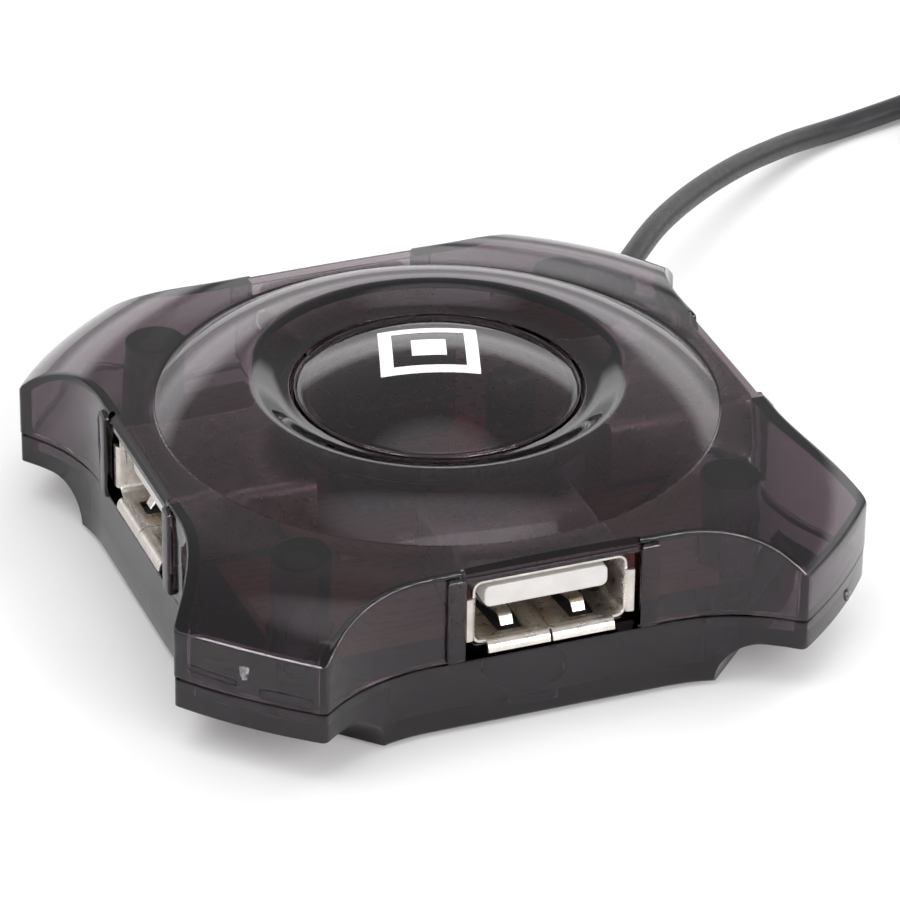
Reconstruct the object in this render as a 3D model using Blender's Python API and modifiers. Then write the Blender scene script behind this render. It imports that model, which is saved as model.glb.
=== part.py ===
"""Four-port USB hub on a captive lead, as an assembly of separate solids.

Millimetres in the named values, metres in the scene. +Z is up, the feet stand on z = 0, and the
origin is under the middle of the body. One port looks along each of -Y, +X, +Y and -X. The lead
leaves through the chamfered corner between +X and +Y.
"""
import math

import bmesh
import bpy
from mathutils import Matrix, Vector

MM = 0.001

# Plan of the body: four flat port sides that swoop out to four blunt ears.
SIDE_DISTANCE = 25.7
SIDE_FLAT_HALF = 10.0
SWOOP_RADIUS = 15.3
EAR_DISTANCE = 35.63
EAR_RADIUS = 47.6
SWOOP_STEPS = 6
EAR_STEPS = 4

# Heights.
FOOT_PROUD = 0.3
BASE_Z = FOOT_PROUD
EAR_UNDER_Z = 3.97
SEAM_Z = 6.5
SEAM_HALF_GAP = 0.15
GAP = 0.3

# Walls.
WALL = 1.4
TOP_WALL = 1.1
FLOOR_WALL = 1.5
LOWER_INSET = 0.15
LOWER_WALL = 1.6
EAR_FLOOR = 1.0

# Turned top: bowl, ring and pillow, as radius and height.
LENS_BORE_RADIUS = 12.05
LEDGE_BORE_RADIUS = 10.9
LEDGE_TOP_Z = 14.7
LEDGE_UNDER_Z = 13.9
BOWL_FOOT = (12.3, 16.35)
BOWL_MIDDLE = (13.6, 16.75)
RING_CREST = (15.42, 17.7)
RING_CREST_TILT = math.radians(4.2)
RING_FOOT = (22.88, 14.95)
PILLOW_START = (27.0, 14.7)
PILLOW_RADIUS = 11.8
PILLOW_REACH = 37.0
TURN_STEPS = 48

# Lens.
LENS_RADIUS = 11.75
LENS_RIM_Z = 16.35
LENS_RISE = 2.8
LENS_WALL = 1.4
LENS_SEAT_RADIUS = 10.4

# Port recess, with the USB receptacle in it.
OPENING_HALF = 7.35
OPENING_TOP_Z = 13.6
LINTEL_FRONT_Z = 14.05
LINTEL_SLOPE = 0.85
PILASTER_INNER = 7.35
PILASTER_OUTER = 8.95
PILASTER_PROUD = 0.45
PILASTER_TOP_Z = 14.35
SOCKET_Z = 10.4
SOCKET_FRONT = 25.16
SOCKET_DEPTH = 12.56
SOCKET_WIDTH = 13.1
SOCKET_HEIGHT = 5.72
SHEET = 0.3
SPRING_WINDOW = (2.6, 4.2)
SPRING_X = 2.9
TONGUE_WIDTH = 11.1
TONGUE_THICKNESS = 1.85
TONGUE_RECESS = 0.9
PORTS = (("front", 0), ("right", 90), ("back", 180), ("left", 270))

# Board and what is soldered to it.
BOARD_HALF = 20.5
BOARD_Z = 6.04
BOARD_THICKNESS = 1.2
BOARD_TOP_Z = BOARD_Z + BOARD_THICKNESS
BOARD_NOTCH_RADIUS = 2.9
STANDOFF_AT = 11.5
STANDOFF_RADIUS = 1.5

# Screw posts and screws on the diagonals.
POST_AT = 18.2
UPPER_POST_RADIUS = 2.4
UPPER_POST_TOP_Z = 14.1
LOWER_POST_RADIUS = 2.5
POST_HOLE_RADIUS = 1.3
POST_HOLE_TOP_Z = 12.6
COUNTERBORE_RADIUS = 2.05
COUNTERBORE_TOP_Z = 2.4
SCREW_HEAD_RADIUS = 1.75
SCREW_HEAD_Z = (0.9, 2.1)
SCREW_RADIUS = 1.0
SCREW_TIP_Z = 9.6

# Rubber feet in shallow recesses.
FOOT_AT = 19.2
FOOT_RADIUS = 3.2
FOOT_THICKNESS = 0.9
RECESS_DEPTH = FOOT_THICKNESS - FOOT_PROUD + GAP

# Lead: exit, diameter and the route of its centre line where it isn't coiled.
EXIT_Z = 7.5
EXIT_HOLE_RADIUS = 1.85
CORD_DIAMETER = 2.15
GROMMET_END = 39.3
GROMMET_NECK_RADIUS = 1.55
GROMMET_INNER_FLANGE = (2.15, 32.8, 33.5)
GROMMET_OUTER_FLANGE = (2.7, 36.0)
GROMMET_TAPER = (2.2, 1.4)
LEAD_ROUTE = (
    (28.1, 28.1, 7.52),
    (30.7, 31.1, 7.5),
    (33.3, 34.3, 7.3),
    (36.1, 37.5, 6.8),
    (39.3, 40.8, 6.2),
    (43.0, 44.4, 5.4),
    (46.9, 47.9, 4.5),
    (50.1, 50.6, 3.7),
    (53.1, 52.9, 2.9),
    (56.1, 55.15, 2.15),
    (59.0, 56.8, 1.55),
    (61.6, 58.0, 1.15),
    (64.1, 58.75, 1.08),
    (68.6, 59.85, 1.2),
    (73.8, 61.05, 1.5),
)
COIL_CENTRE = (86.0, 48.6)
COIL_INNER_RADIUS = 7.7
COIL_OUTER_RADIUS = 15.95
COIL_Z = (0.5, 4.85)
TIE_WIDTH = 3.0
TIE_THICKNESS = 0.2
TIE_GAP = 0.15
TAIL_ROUTE = (
    (100.85, 39.6, 3.2),
    (100.95, 37.2, 2.75),
    (101.0, 34.8, 2.6),
    (101.0, 32.4, 3.0),
    (101.0, 30.0, 3.7),
)
ROUTE_STEP = 4.5
TAIL_STEP = 2.2

# USB plug, lying beside the coil and pointing along -Y.
PLUG_X = 101.0
PLUG_Z = 4.0
RELIEF_Y = (29.6, 21.6)
RELIEF_RADII = (1.6, 1.75, 2.6, 2.9)
OVERMOULD_Y = (21.3, -2.7)
OVERMOULD_SIZE = (15.6, 7.8)
OVERMOULD_BEVEL = 1.4
PLUG_SHELL_Y = (-3.0, -21.0)
PLUG_SHELL_SIZE = (12.0, 4.5)
PLUG_CORE_SIZE = (11.0, 1.9)


def material(name, colour, roughness, metallic=0.0):
    """Plain Principled finish in the part's own colour."""
    finish = bpy.data.materials.new(name)
    finish.use_nodes = True
    shader = finish.node_tree.nodes["Principled BSDF"]
    shader.inputs["Base Color"].default_value = (*colour, 1.0)
    shader.inputs["Roughness"].default_value = roughness
    shader.inputs["Metallic"].default_value = metallic
    return finish


def start_scene():
    """Empty scene with one collection for the parts and one for the cutters."""
    for old in list(bpy.data.objects):
        bpy.data.objects.remove(old, do_unlink=True)
    made = []
    for name in ("usb_hub", "cutters"):
        group = bpy.data.collections.new(name)
        bpy.context.scene.collection.children.link(group)
        made.append(group)
    return made


PARTS, CUTTERS = start_scene()
SMOKE = material("smoke_plastic", (0.10, 0.085, 0.09), 0.12)
CLEAR_SMOKE = material("lens_plastic", (0.16, 0.14, 0.15), 0.05)
NICKEL = material("nickel_plate", (0.72, 0.69, 0.64), 0.25, 1.0)
WHITE = material("white_insulator", (0.85, 0.84, 0.80), 0.4)
BOARD_RED = material("board_red", (0.22, 0.045, 0.03), 0.45)
CHIP_BLACK = material("chip_black", (0.02, 0.02, 0.022), 0.5)
CAN_METAL = material("can_metal", (0.66, 0.66, 0.66), 0.3, 1.0)
LED_RED = material("led_red", (0.6, 0.03, 0.05), 0.15)
CERAMIC = material("ceramic_tan", (0.45, 0.33, 0.22), 0.5)
SCREW_STEEL = material("screw_steel", (0.35, 0.35, 0.36), 0.35, 1.0)
RUBBER = material("black_rubber", (0.025, 0.025, 0.027), 0.8)
CABLE_BLACK = material("cable_black", (0.035, 0.032, 0.035), 0.5)
TIE_BLACK = material("tie_black", (0.03, 0.03, 0.03), 0.6)
WIRE_COLOURS = (
    ("red", (0.5, 0.02, 0.02)),
    ("white", (0.75, 0.75, 0.72)),
    ("green", (0.03, 0.3, 0.08)),
    ("black", (0.02, 0.02, 0.02)),
)


def add(name, mesh, finish):
    """Put a finished piece in the scene."""
    piece = bpy.data.objects.new(name, mesh)
    mesh.materials.clear()
    mesh.materials.append(finish)
    PARTS.objects.link(piece)
    return piece


def add_cutter(name, mesh):
    """Put a guide for a Boolean in the scene, hidden from the model."""
    guide = bpy.data.objects.new(name, mesh)
    guide.hide_render = True
    guide.display_type = "WIRE"
    CUTTERS.objects.link(guide)
    return guide


def boolean(piece, other, operation="DIFFERENCE", solver="EXACT"):
    """Cut, keep or join. The manifold solver is for the cuts that leave the exact one open."""
    step = piece.modifiers.new(f"{operation.lower()}_{other.name}", "BOOLEAN")
    step.operation = operation
    step.solver = solver
    step.object = other


def smooth(piece, angle=35):
    """Shade round faces smooth and keep real edges."""
    piece.data.shade_smooth()
    piece.data.set_sharp_from_angle(angle=math.radians(angle))


def box_mesh(name, boxes):
    """Closed boxes, each given by its low and high corner in millimetres."""
    mesh = bpy.data.meshes.new(name)
    work = bmesh.new()
    for low, high in boxes:
        low, high = Vector(low) * MM, Vector(high) * MM
        place = Matrix.Translation((low + high) / 2) @ Matrix.Diagonal((*(high - low), 1.0))
        bmesh.ops.create_cube(work, size=1.0, matrix=place)
    work.to_mesh(mesh)
    work.free()
    return mesh


def cylinder_mesh(name, places, radius, z_low, z_high, sides=20):
    """Upright closed cylinders at the given places."""
    mesh = bpy.data.meshes.new(name)
    work = bmesh.new()
    for x, y in places:
        bmesh.ops.create_cone(
            work,
            cap_ends=True,
            segments=sides,
            radius1=radius * MM,
            radius2=radius * MM,
            depth=(z_high - z_low) * MM,
            matrix=Matrix.Translation((x * MM, y * MM, (z_low + z_high) / 2 * MM)),
        )
    work.to_mesh(mesh)
    work.free()
    return mesh


def curve_to_mesh(curve_object, name):
    """Mesh of a curve object, with its caps welded on."""
    graph = bpy.context.evaluated_depsgraph_get()
    mesh = bpy.data.meshes.new_from_object(curve_object.evaluated_get(graph))
    mesh.name = name
    work = bmesh.new()
    work.from_mesh(mesh)
    bmesh.ops.remove_doubles(work, verts=work.verts, dist=1e-7)
    bmesh.ops.recalc_face_normals(work, faces=work.faces)
    work.to_mesh(mesh)
    work.free()
    curve = curve_object.data
    bpy.data.objects.remove(curve_object, do_unlink=True)
    bpy.data.curves.remove(curve)
    return mesh


def prism_mesh(name, outline, z_low, z_high):
    """Upright plate of a flat outline: a filled 2D curve with its thickness extruded."""
    curve = bpy.data.curves.new(name, "CURVE")
    curve.dimensions = "2D"
    curve.fill_mode = "BOTH"
    curve.extrude = (z_high - z_low) / 2 * MM
    spline = curve.splines.new("POLY")
    spline.points.add(len(outline) - 1)
    for point, (x, y) in zip(spline.points, outline):
        point.co = (x * MM, y * MM, 0.0, 1.0)
    spline.use_cyclic_u = True
    guide = bpy.data.objects.new(name, curve)
    CUTTERS.objects.link(guide)
    bpy.context.view_layer.update()
    mesh = curve_to_mesh(guide, name)
    mesh.transform(Matrix.Translation((0, 0, (z_low + z_high) / 2 * MM)))
    return mesh


def turned_mesh(name, profile):
    """Profile of (radius, height) pairs for a Screw modifier, outer side top to bottom."""
    mesh = bpy.data.meshes.new(name)
    corners = [(radius * MM, 0.0, z * MM) for radius, z in profile]
    edges = [(i, i + 1) for i in range(len(profile) - 1)]
    if profile[0][0] > 0.0:
        edges.append((len(profile) - 1, 0))
    mesh.from_pydata(corners, edges, [])
    return mesh


def spin(piece, steps=TURN_STEPS):
    """Turn a profile once round Z and weld it on the axis."""
    screw = piece.modifiers.new("spin", "SCREW")
    screw.steps = steps
    screw.render_steps = steps
    screw.use_merge_vertices = True
    screw.merge_threshold = 1e-7
    screw.use_smooth_shade = True
    return piece


def turned_solid(name, profile, steps=TURN_STEPS):
    """Mesh of a turned solid, with the Screw applied so that it can be placed."""
    guide = spin(add_cutter(name, turned_mesh(name, profile)), steps)
    bpy.context.view_layer.update()
    graph = bpy.context.evaluated_depsgraph_get()
    mesh = bpy.data.meshes.new_from_object(guide.evaluated_get(graph))
    bpy.data.objects.remove(guide, do_unlink=True)
    return mesh


def smooth_route(points, step):
    """Points about a step apart on a Catmull-Rom curve through the route's points."""
    ends = [2 * Vector(points[0]) - Vector(points[1]), 2 * Vector(points[-1]) - Vector(points[-2])]
    knots = [ends[0], *(Vector(p) for p in points), ends[1]]
    fine = []
    for a, b, c, d in zip(knots, knots[1:], knots[2:], knots[3:]):
        for i in range(20):
            t = i / 20
            fine.append(
                0.5 * (2 * b + (c - a) * t + (2 * a - 5 * b + 4 * c - d) * t**2
                       + (3 * b - a - 3 * c + d) * t**3)
            )
    fine.append(knots[-2])
    lengths = [0.0]
    for a, b in zip(fine, fine[1:]):
        lengths.append(lengths[-1] + (b - a).length)
    count = max(2, round(lengths[-1] / step))
    route = []
    place = 0
    for i in range(count + 1):
        target = lengths[-1] * i / count
        while place < len(fine) - 2 and lengths[place + 1] < target:
            place += 1
        part = (target - lengths[place]) / (lengths[place + 1] - lengths[place])
        route.append(fine[place].lerp(fine[place + 1], min(part, 1.0)))
    return route


def tube(name, route, radius, finish):
    """Round tube along a route, as a bevelled POLY curve with filled caps."""
    curve = bpy.data.curves.new(name, "CURVE")
    curve.dimensions = "3D"
    curve.bevel_depth = radius * MM
    curve.bevel_resolution = 2
    curve.use_fill_caps = True
    spline = curve.splines.new("POLY")
    spline.points.add(len(route) - 1)
    for point, place in zip(spline.points, route):
        point.co = (*(place * MM), 1.0)
    curve.materials.append(finish)
    piece = bpy.data.objects.new(name, curve)
    PARTS.objects.link(piece)
    return piece


def circles_meet(centre_a, radius_a, centre_b, radius_b):
    """Crossing of two circles with the larger x + |y|."""
    a, b = Vector(centre_a), Vector(centre_b)
    gap = b - a
    along = (gap.length_squared + radius_a**2 - radius_b**2) / (2 * gap.length)
    across = math.sqrt(radius_a**2 - along**2)
    unit = gap.normalized()
    normal = Vector((-unit.y, unit.x))
    found = [a + unit * along + normal * across, a + unit * along - normal * across]
    return max(found, key=lambda point: point.x + abs(point.y))


def arc(centre, start, end, steps):
    """Points on the shorter arc round a centre, from start to end."""
    centre, start, end = Vector(centre), Vector(start), Vector(end)
    first = math.atan2(*(start - centre).yx)
    last = math.atan2(*(end - centre).yx)
    sweep = (last - first + math.pi) % (2 * math.pi) - math.pi
    radius = (start - centre).length
    angles = [first + sweep * i / steps for i in range(steps + 1)]
    return [centre + radius * Vector((math.cos(t), math.sin(t))) for t in angles]


def body_outline(inset=0.0):
    """Plan of the body, counter-clockwise, moved in by the inset."""
    swoop_centre = (SIDE_FLAT_HALF, -SIDE_DISTANCE - SWOOP_RADIUS)
    swoop_radius = SWOOP_RADIUS + inset
    back = (EAR_DISTANCE - EAR_RADIUS) / math.sqrt(2)
    ear_centre = (back, -back)
    tip = circles_meet(swoop_centre, swoop_radius, ear_centre, EAR_RADIUS - inset)
    flat_end = (SIDE_FLAT_HALF, -SIDE_DISTANCE + inset)
    swoop = arc(swoop_centre, flat_end, tip, SWOOP_STEPS)
    other_tip = Vector((-tip.y, -tip.x))
    ear = arc(ear_centre, tip, other_tip, EAR_STEPS)[1:-1]
    mirrored = [Vector((-p.y, -p.x)) for p in reversed(swoop)]
    quarter = swoop + ear + mirrored
    outline = []
    for turn in range(4):
        rotation = Matrix.Rotation(turn * math.pi / 2, 2)
        outline += [(rotation @ p)[:] for p in quarter]
    return outline


def ring_arc(drop=0.0, steps=8):
    """Convex back of the raised ring, from its crest to its foot, lowered along its normal."""
    run = RING_FOOT[0] - RING_CREST[0]
    fall = RING_CREST[1] - RING_FOOT[1]
    end_tilt = 2 * math.atan2(fall, run) - RING_CREST_TILT
    radius = run / (math.sin(end_tilt) - math.sin(RING_CREST_TILT))
    centre_r = RING_CREST[0] - radius * math.sin(RING_CREST_TILT)
    centre_z = RING_CREST[1] - radius * math.cos(RING_CREST_TILT)
    tilts = [RING_CREST_TILT + (end_tilt - RING_CREST_TILT) * i / steps for i in range(steps + 1)]
    size = radius - drop
    return [(centre_r + size * math.sin(t), centre_z + size * math.cos(t)) for t in tilts]


def pillow_arc(drop=0.0, steps=8):
    """Falling edge of the pillow, from where it starts to past the ears."""
    centre_r, centre_z = PILLOW_START[0], PILLOW_START[1] - PILLOW_RADIUS
    last = math.asin((PILLOW_REACH - centre_r) / PILLOW_RADIUS)
    size = PILLOW_RADIUS - drop
    tilts = [last * i / steps for i in range(steps + 1)]
    return [(centre_r + size * math.sin(t), centre_z + size * math.cos(t)) for t in tilts]


def top_profile():
    """Everything under the outer top surface, down to below the seam."""
    seat = [(0.0, LEDGE_TOP_Z), (LENS_BORE_RADIUS, LEDGE_TOP_Z), (LENS_BORE_RADIUS, BOWL_FOOT[1])]
    bowl = [BOWL_FOOT, BOWL_MIDDLE]
    below = [(PILLOW_REACH + 1.0, 5.0), (0.0, 5.0)]
    return seat + bowl + ring_arc() + pillow_arc() + below


def cavity_profile():
    """Everything under the inner top surface, down to below the seam."""
    under_lens = [(0.0, LEDGE_UNDER_Z), (LENS_BORE_RADIUS + WALL, LEDGE_UNDER_Z)]
    below = [(PILLOW_REACH, 4.0), (0.0, 4.0)]
    return under_lens + ring_arc(TOP_WALL, 6) + pillow_arc(TOP_WALL, 6) + below


def on_diagonals(distance):
    """The same place on each of the four diagonals."""
    return [(x * distance, y * distance) for x, y in ((-1, -1), (1, -1), (1, 1), (-1, 1))]


def four_sides(mesh):
    """Copies of a mesh made for the front side, turned onto all four sides."""
    work = bmesh.new()
    for turn in range(4):
        copy = mesh.copy()
        copy.transform(Matrix.Rotation(turn * math.pi / 2, 4, "Z"))
        work.from_mesh(copy)
        bpy.data.meshes.remove(copy)
    work.to_mesh(mesh)
    work.free()
    return mesh


def diagonal_frame(distance, z):
    """Frame on the lead's corner: local Z points out along the diagonal."""
    turn = Matrix.Rotation(math.radians(45), 4, "Z") @ Matrix.Rotation(math.radians(90), 4, "Y")
    outward = Vector((1, 1, 0)).normalized() * distance
    return Matrix.Translation((outward + Vector((0, 0, z))) * MM) @ turn


def exit_hole_cutter():
    """Round way through the corner wall, shared by both shells."""
    mesh = cylinder_mesh("exit_hole", [(0, 0)], EXIT_HOLE_RADIUS, -5.0, 5.0)
    mesh.transform(diagonal_frame(EAR_DISTANCE, EXIT_Z))
    return add_cutter("exit_hole", mesh)


def lintel_mesh():
    """Wedge that slopes the front edge over a port, as a prism along X."""
    front = SIDE_DISTANCE
    rise = PILLOW_START[1] + 0.6
    slope = (rise - LINTEL_FRONT_Z) / LINTEL_SLOPE
    profile = [
        (front + 0.6, LINTEL_FRONT_Z - 0.6 * slope),
        (front + 0.6, rise),
        (front - LINTEL_SLOPE, rise),
    ]
    mesh = prism_mesh("lintel_slope", profile, -OPENING_HALF, OPENING_HALF)
    side_on = Matrix(((0, 0, 1, 0), (-1, 0, 0, 0), (0, 1, 0, 0), (0, 0, 0, 1)))
    mesh.transform(side_on)
    work = bmesh.new()
    work.from_mesh(mesh)
    bmesh.ops.recalc_face_normals(work, faces=work.faces)
    work.to_mesh(mesh)
    work.free()
    return mesh


def upper_shell(exit_hole):
    """Upper half of the case: turned top, swooping walls, four port openings, four posts."""
    outer = prism_mesh("upper_shell", body_outline(), SEAM_Z + SEAM_HALF_GAP, 20.0)
    shell = add("upper_shell", outer, SMOKE)
    top = spin(add_cutter("top_form", turned_mesh("top_form", top_profile())))
    boolean(shell, top, "INTERSECT")
    front = SIDE_DISTANCE + PILASTER_PROUD
    ribs = []
    for side in (-1, 1):
        edges = sorted((side * PILASTER_INNER, side * PILASTER_OUTER))
        low = (edges[0], -front, SEAM_Z + SEAM_HALF_GAP)
        ribs.append((low, (edges[1], -SIDE_DISTANCE + 0.5, PILASTER_TOP_Z)))
    pilasters = add_cutter("pilasters", four_sides(box_mesh("pilasters", ribs)))
    boolean(shell, pilasters, "UNION")
    room = prism_mesh("upper_room", body_outline(WALL), 4.5, 19.0)
    cavity = add_cutter("upper_room", room)
    roof = spin(add_cutter("roof_form", turned_mesh("roof_form", cavity_profile())))
    boolean(cavity, roof, "INTERSECT")
    boolean(shell, cavity)
    posts = cylinder_mesh(
        "upper_posts", on_diagonals(POST_AT), UPPER_POST_RADIUS, SEAM_Z + SEAM_HALF_GAP, UPPER_POST_TOP_Z
    )
    boolean(shell, add_cutter("upper_posts", posts), "UNION")
    holes = cylinder_mesh("post_holes", on_diagonals(POST_AT), POST_HOLE_RADIUS, 5.0, POST_HOLE_TOP_Z)
    boolean(shell, add_cutter("post_holes", holes))
    ledge = cylinder_mesh("ledge_bore", [(0, 0)], LEDGE_BORE_RADIUS, 12.0, 16.0, TURN_STEPS)
    boolean(shell, add_cutter("ledge_bore", ledge))
    deep = SIDE_DISTANCE - WALL - 0.4
    way = ((-OPENING_HALF, -front - 0.6, 4.0), (OPENING_HALF, -deep, OPENING_TOP_Z))
    boolean(shell, add_cutter("port_ways", four_sides(box_mesh("port_ways", [way]))))
    boolean(shell, add_cutter("lintel_slopes", four_sides(lintel_mesh())))
    boolean(shell, exit_hole, solver="MANIFOLD")


def cove_cutters():
    """Space under each ear: a cove rising from the foot edge to the flat underside."""
    foot_edge = 28.3
    cove_radius = 3.6
    rise = EAR_UNDER_Z - BASE_Z
    steps = 8
    hollow = []
    for i in range(steps + 1):
        angle = math.radians(90 * i / steps)
        u = foot_edge + cove_radius * (1 - math.cos(angle))
        hollow.append((u, BASE_Z + rise * math.sin(angle)))
    profile = [(foot_edge, BASE_Z - 1.0), (40.0, BASE_Z - 1.0), (40.0, EAR_UNDER_Z)]
    profile += list(reversed(hollow))
    mesh = prism_mesh("coves", profile, -16.0, 16.0)
    upright = Matrix(((1, 0, 0, 0), (0, 0, -1, 0), (0, 1, 0, 0), (0, 0, 0, 1)))
    mesh.transform(Matrix.Rotation(math.radians(45), 4, "Z") @ upright)
    return add_cutter("coves", four_sides(mesh))


def lower_shell(exit_hole):
    """Lower half of the case: walls, floor, coved ears, screw posts and board standoffs."""
    outline = body_outline(LOWER_INSET)
    top = SEAM_Z - SEAM_HALF_GAP
    shell = add("lower_shell", prism_mesh("lower_shell", outline, BASE_Z, top), SMOKE)
    robust = "MANIFOLD"
    boolean(shell, cove_cutters(), solver=robust)
    inner = body_outline(LOWER_INSET + LOWER_WALL)
    shallow = add_cutter("ear_room", prism_mesh("ear_room", inner, EAR_UNDER_Z + EAR_FLOOR, 8.0))
    boolean(shell, shallow, solver=robust)
    deep = add_cutter("floor_room", prism_mesh("floor_room", inner, BASE_Z + FLOOR_WALL, 7.9))
    reach = 26.9
    square = box_mesh("floor_square", [((-reach, -reach, 0.0), (reach, reach, 9.0))])
    square.transform(Matrix.Rotation(math.radians(45), 4, "Z"))
    boolean(deep, add_cutter("floor_square", square), "INTERSECT")
    boolean(shell, deep, solver=robust)
    posts = cylinder_mesh("lower_posts", on_diagonals(POST_AT), LOWER_POST_RADIUS, BASE_Z, top)
    boolean(shell, add_cutter("lower_posts", posts), "UNION", robust)
    low = BASE_Z + FLOOR_WALL - 0.5
    stands = cylinder_mesh(
        "standoffs", on_diagonals(STANDOFF_AT), STANDOFF_RADIUS, low, BOARD_Z - GAP, 16
    )
    boolean(shell, add_cutter("standoffs", stands), "UNION", robust)
    ways = cylinder_mesh("screw_ways", on_diagonals(POST_AT), POST_HOLE_RADIUS, -1.0, 8.0)
    boolean(shell, add_cutter("screw_ways", ways), solver=robust)
    bores = cylinder_mesh(
        "counterbores", on_diagonals(POST_AT), COUNTERBORE_RADIUS, -1.0, COUNTERBORE_TOP_Z
    )
    boolean(shell, add_cutter("counterbores", bores), solver=robust)
    feet = [(0, -FOOT_AT), (FOOT_AT, 0), (0, FOOT_AT), (-FOOT_AT, 0)]
    recess = cylinder_mesh("recesses", feet, FOOT_RADIUS + GAP, -1.0, BASE_Z + RECESS_DEPTH, 32)
    boolean(shell, add_cutter("recesses", recess), solver=robust)
    boolean(shell, exit_hole, solver=robust)


def lens_dome():
    """Clear domed cover dropped into the ring and standing on its ledge."""
    ball = (LENS_RADIUS**2 + LENS_RISE**2) / (2 * LENS_RISE)
    centre_z = LENS_RIM_Z + LENS_RISE - ball
    last = math.asin(LENS_RADIUS / ball)
    steps = 9
    outer = [
        (ball * math.sin(last * i / steps), centre_z + ball * math.cos(last * i / steps))
        for i in range(steps + 1)
    ]
    inner_ball = ball - LENS_WALL
    inner_last = math.asin(LENS_SEAT_RADIUS / inner_ball)
    inner = [
        (inner_ball * math.sin(inner_last * i / 6), centre_z + inner_ball * math.cos(inner_last * i / 6))
        for i in range(6, -1, -1)
    ]
    seat = LEDGE_TOP_Z + GAP
    rim = [(LENS_RADIUS, seat), (LENS_SEAT_RADIUS, seat)]
    profile = outer + rim + inner
    spin(add("lens_dome", turned_mesh("lens_dome", profile), CLEAR_SMOKE))


def usb_receptacle(side, degrees):
    """Plated steel receptacle with its insulator, opening outwards on one side."""
    turn = Matrix.Rotation(math.radians(degrees), 4, "Z")
    half, height = SOCKET_WIDTH / 2, SOCKET_HEIGHT / 2
    front, rear = -SOCKET_FRONT, -SOCKET_FRONT + SOCKET_DEPTH
    body = box_mesh(
        f"usb_shell_{side}", [((-half, front, SOCKET_Z - height), (half, rear, SOCKET_Z + height))]
    )
    shell = add(f"usb_shell_{side}", body, NICKEL)
    flange = 0.4
    tabs = [
        ((-half - flange, front, SOCKET_Z - 2.0), (-half + 0.1, front + SHEET, SOCKET_Z + 2.0)),
        ((half - 0.1, front, SOCKET_Z - 2.0), (half + flange, front + SHEET, SOCKET_Z + 2.0)),
        ((-4.8, front, SOCKET_Z - height - flange), (4.8, front + SHEET, SOCKET_Z - height + 0.1)),
    ]
    for i, tab in enumerate(tabs):
        boolean(shell, add_cutter(f"tab_{side}_{i}", box_mesh(f"tab_{side}_{i}", [tab])), "UNION")
    mouth = (
        (-half + SHEET, front - 1.0, SOCKET_Z - height + SHEET),
        (half - SHEET, rear - SHEET, SOCKET_Z + height - SHEET),
    )
    boolean(shell, add_cutter(f"mouth_{side}", box_mesh(f"mouth_{side}", [mouth])))
    wide, long = SPRING_WINDOW
    windows = [
        ((x - wide / 2, front + 1.2, SOCKET_Z - height - 0.1),
         (x + wide / 2, front + 1.2 + long, SOCKET_Z - height + SHEET + 0.1))
        for x in (-SPRING_X, SPRING_X)
    ]
    boolean(shell, add_cutter(f"windows_{side}", box_mesh(f"windows_{side}", windows)))
    block_low = (-half + SHEET + GAP, rear - 3.0, SOCKET_Z - height + SHEET + GAP)
    block_high = (half - SHEET - GAP, rear - SHEET - GAP, SOCKET_Z + height - SHEET - GAP)
    core = add(f"usb_insulator_{side}", box_mesh(f"core_{side}", [(block_low, block_high)]), WHITE)
    tongue_top = block_high[2] - 0.05
    tongue = (
        (-TONGUE_WIDTH / 2, front + TONGUE_RECESS, tongue_top - TONGUE_THICKNESS),
        (TONGUE_WIDTH / 2, rear - 2.0, tongue_top),
    )
    boolean(core, add_cutter(f"tongue_{side}", box_mesh(f"tongue_{side}", [tongue])), "UNION")
    for piece in (shell, core, *[m.object for m in (*shell.modifiers, *core.modifiers)]):
        piece.matrix_world = turn


def circuit_board():
    """Red board notched round the four screw posts."""
    half = BOARD_HALF
    plate = box_mesh("circuit_board", [((-half, -half, BOARD_Z), (half, half, BOARD_TOP_Z))])
    board = add("circuit_board", plate, BOARD_RED)
    notches = cylinder_mesh("notches", on_diagonals(POST_AT), BOARD_NOTCH_RADIUS, 5.0, 9.0)
    boolean(board, add_cutter("notches", notches))
    corner = box_mesh("corners", [((POST_AT, -half - 1, 5.5), (half + 1, -POST_AT, 8.5))])
    boolean(board, add_cutter("corners", four_sides(corner)))


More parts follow.
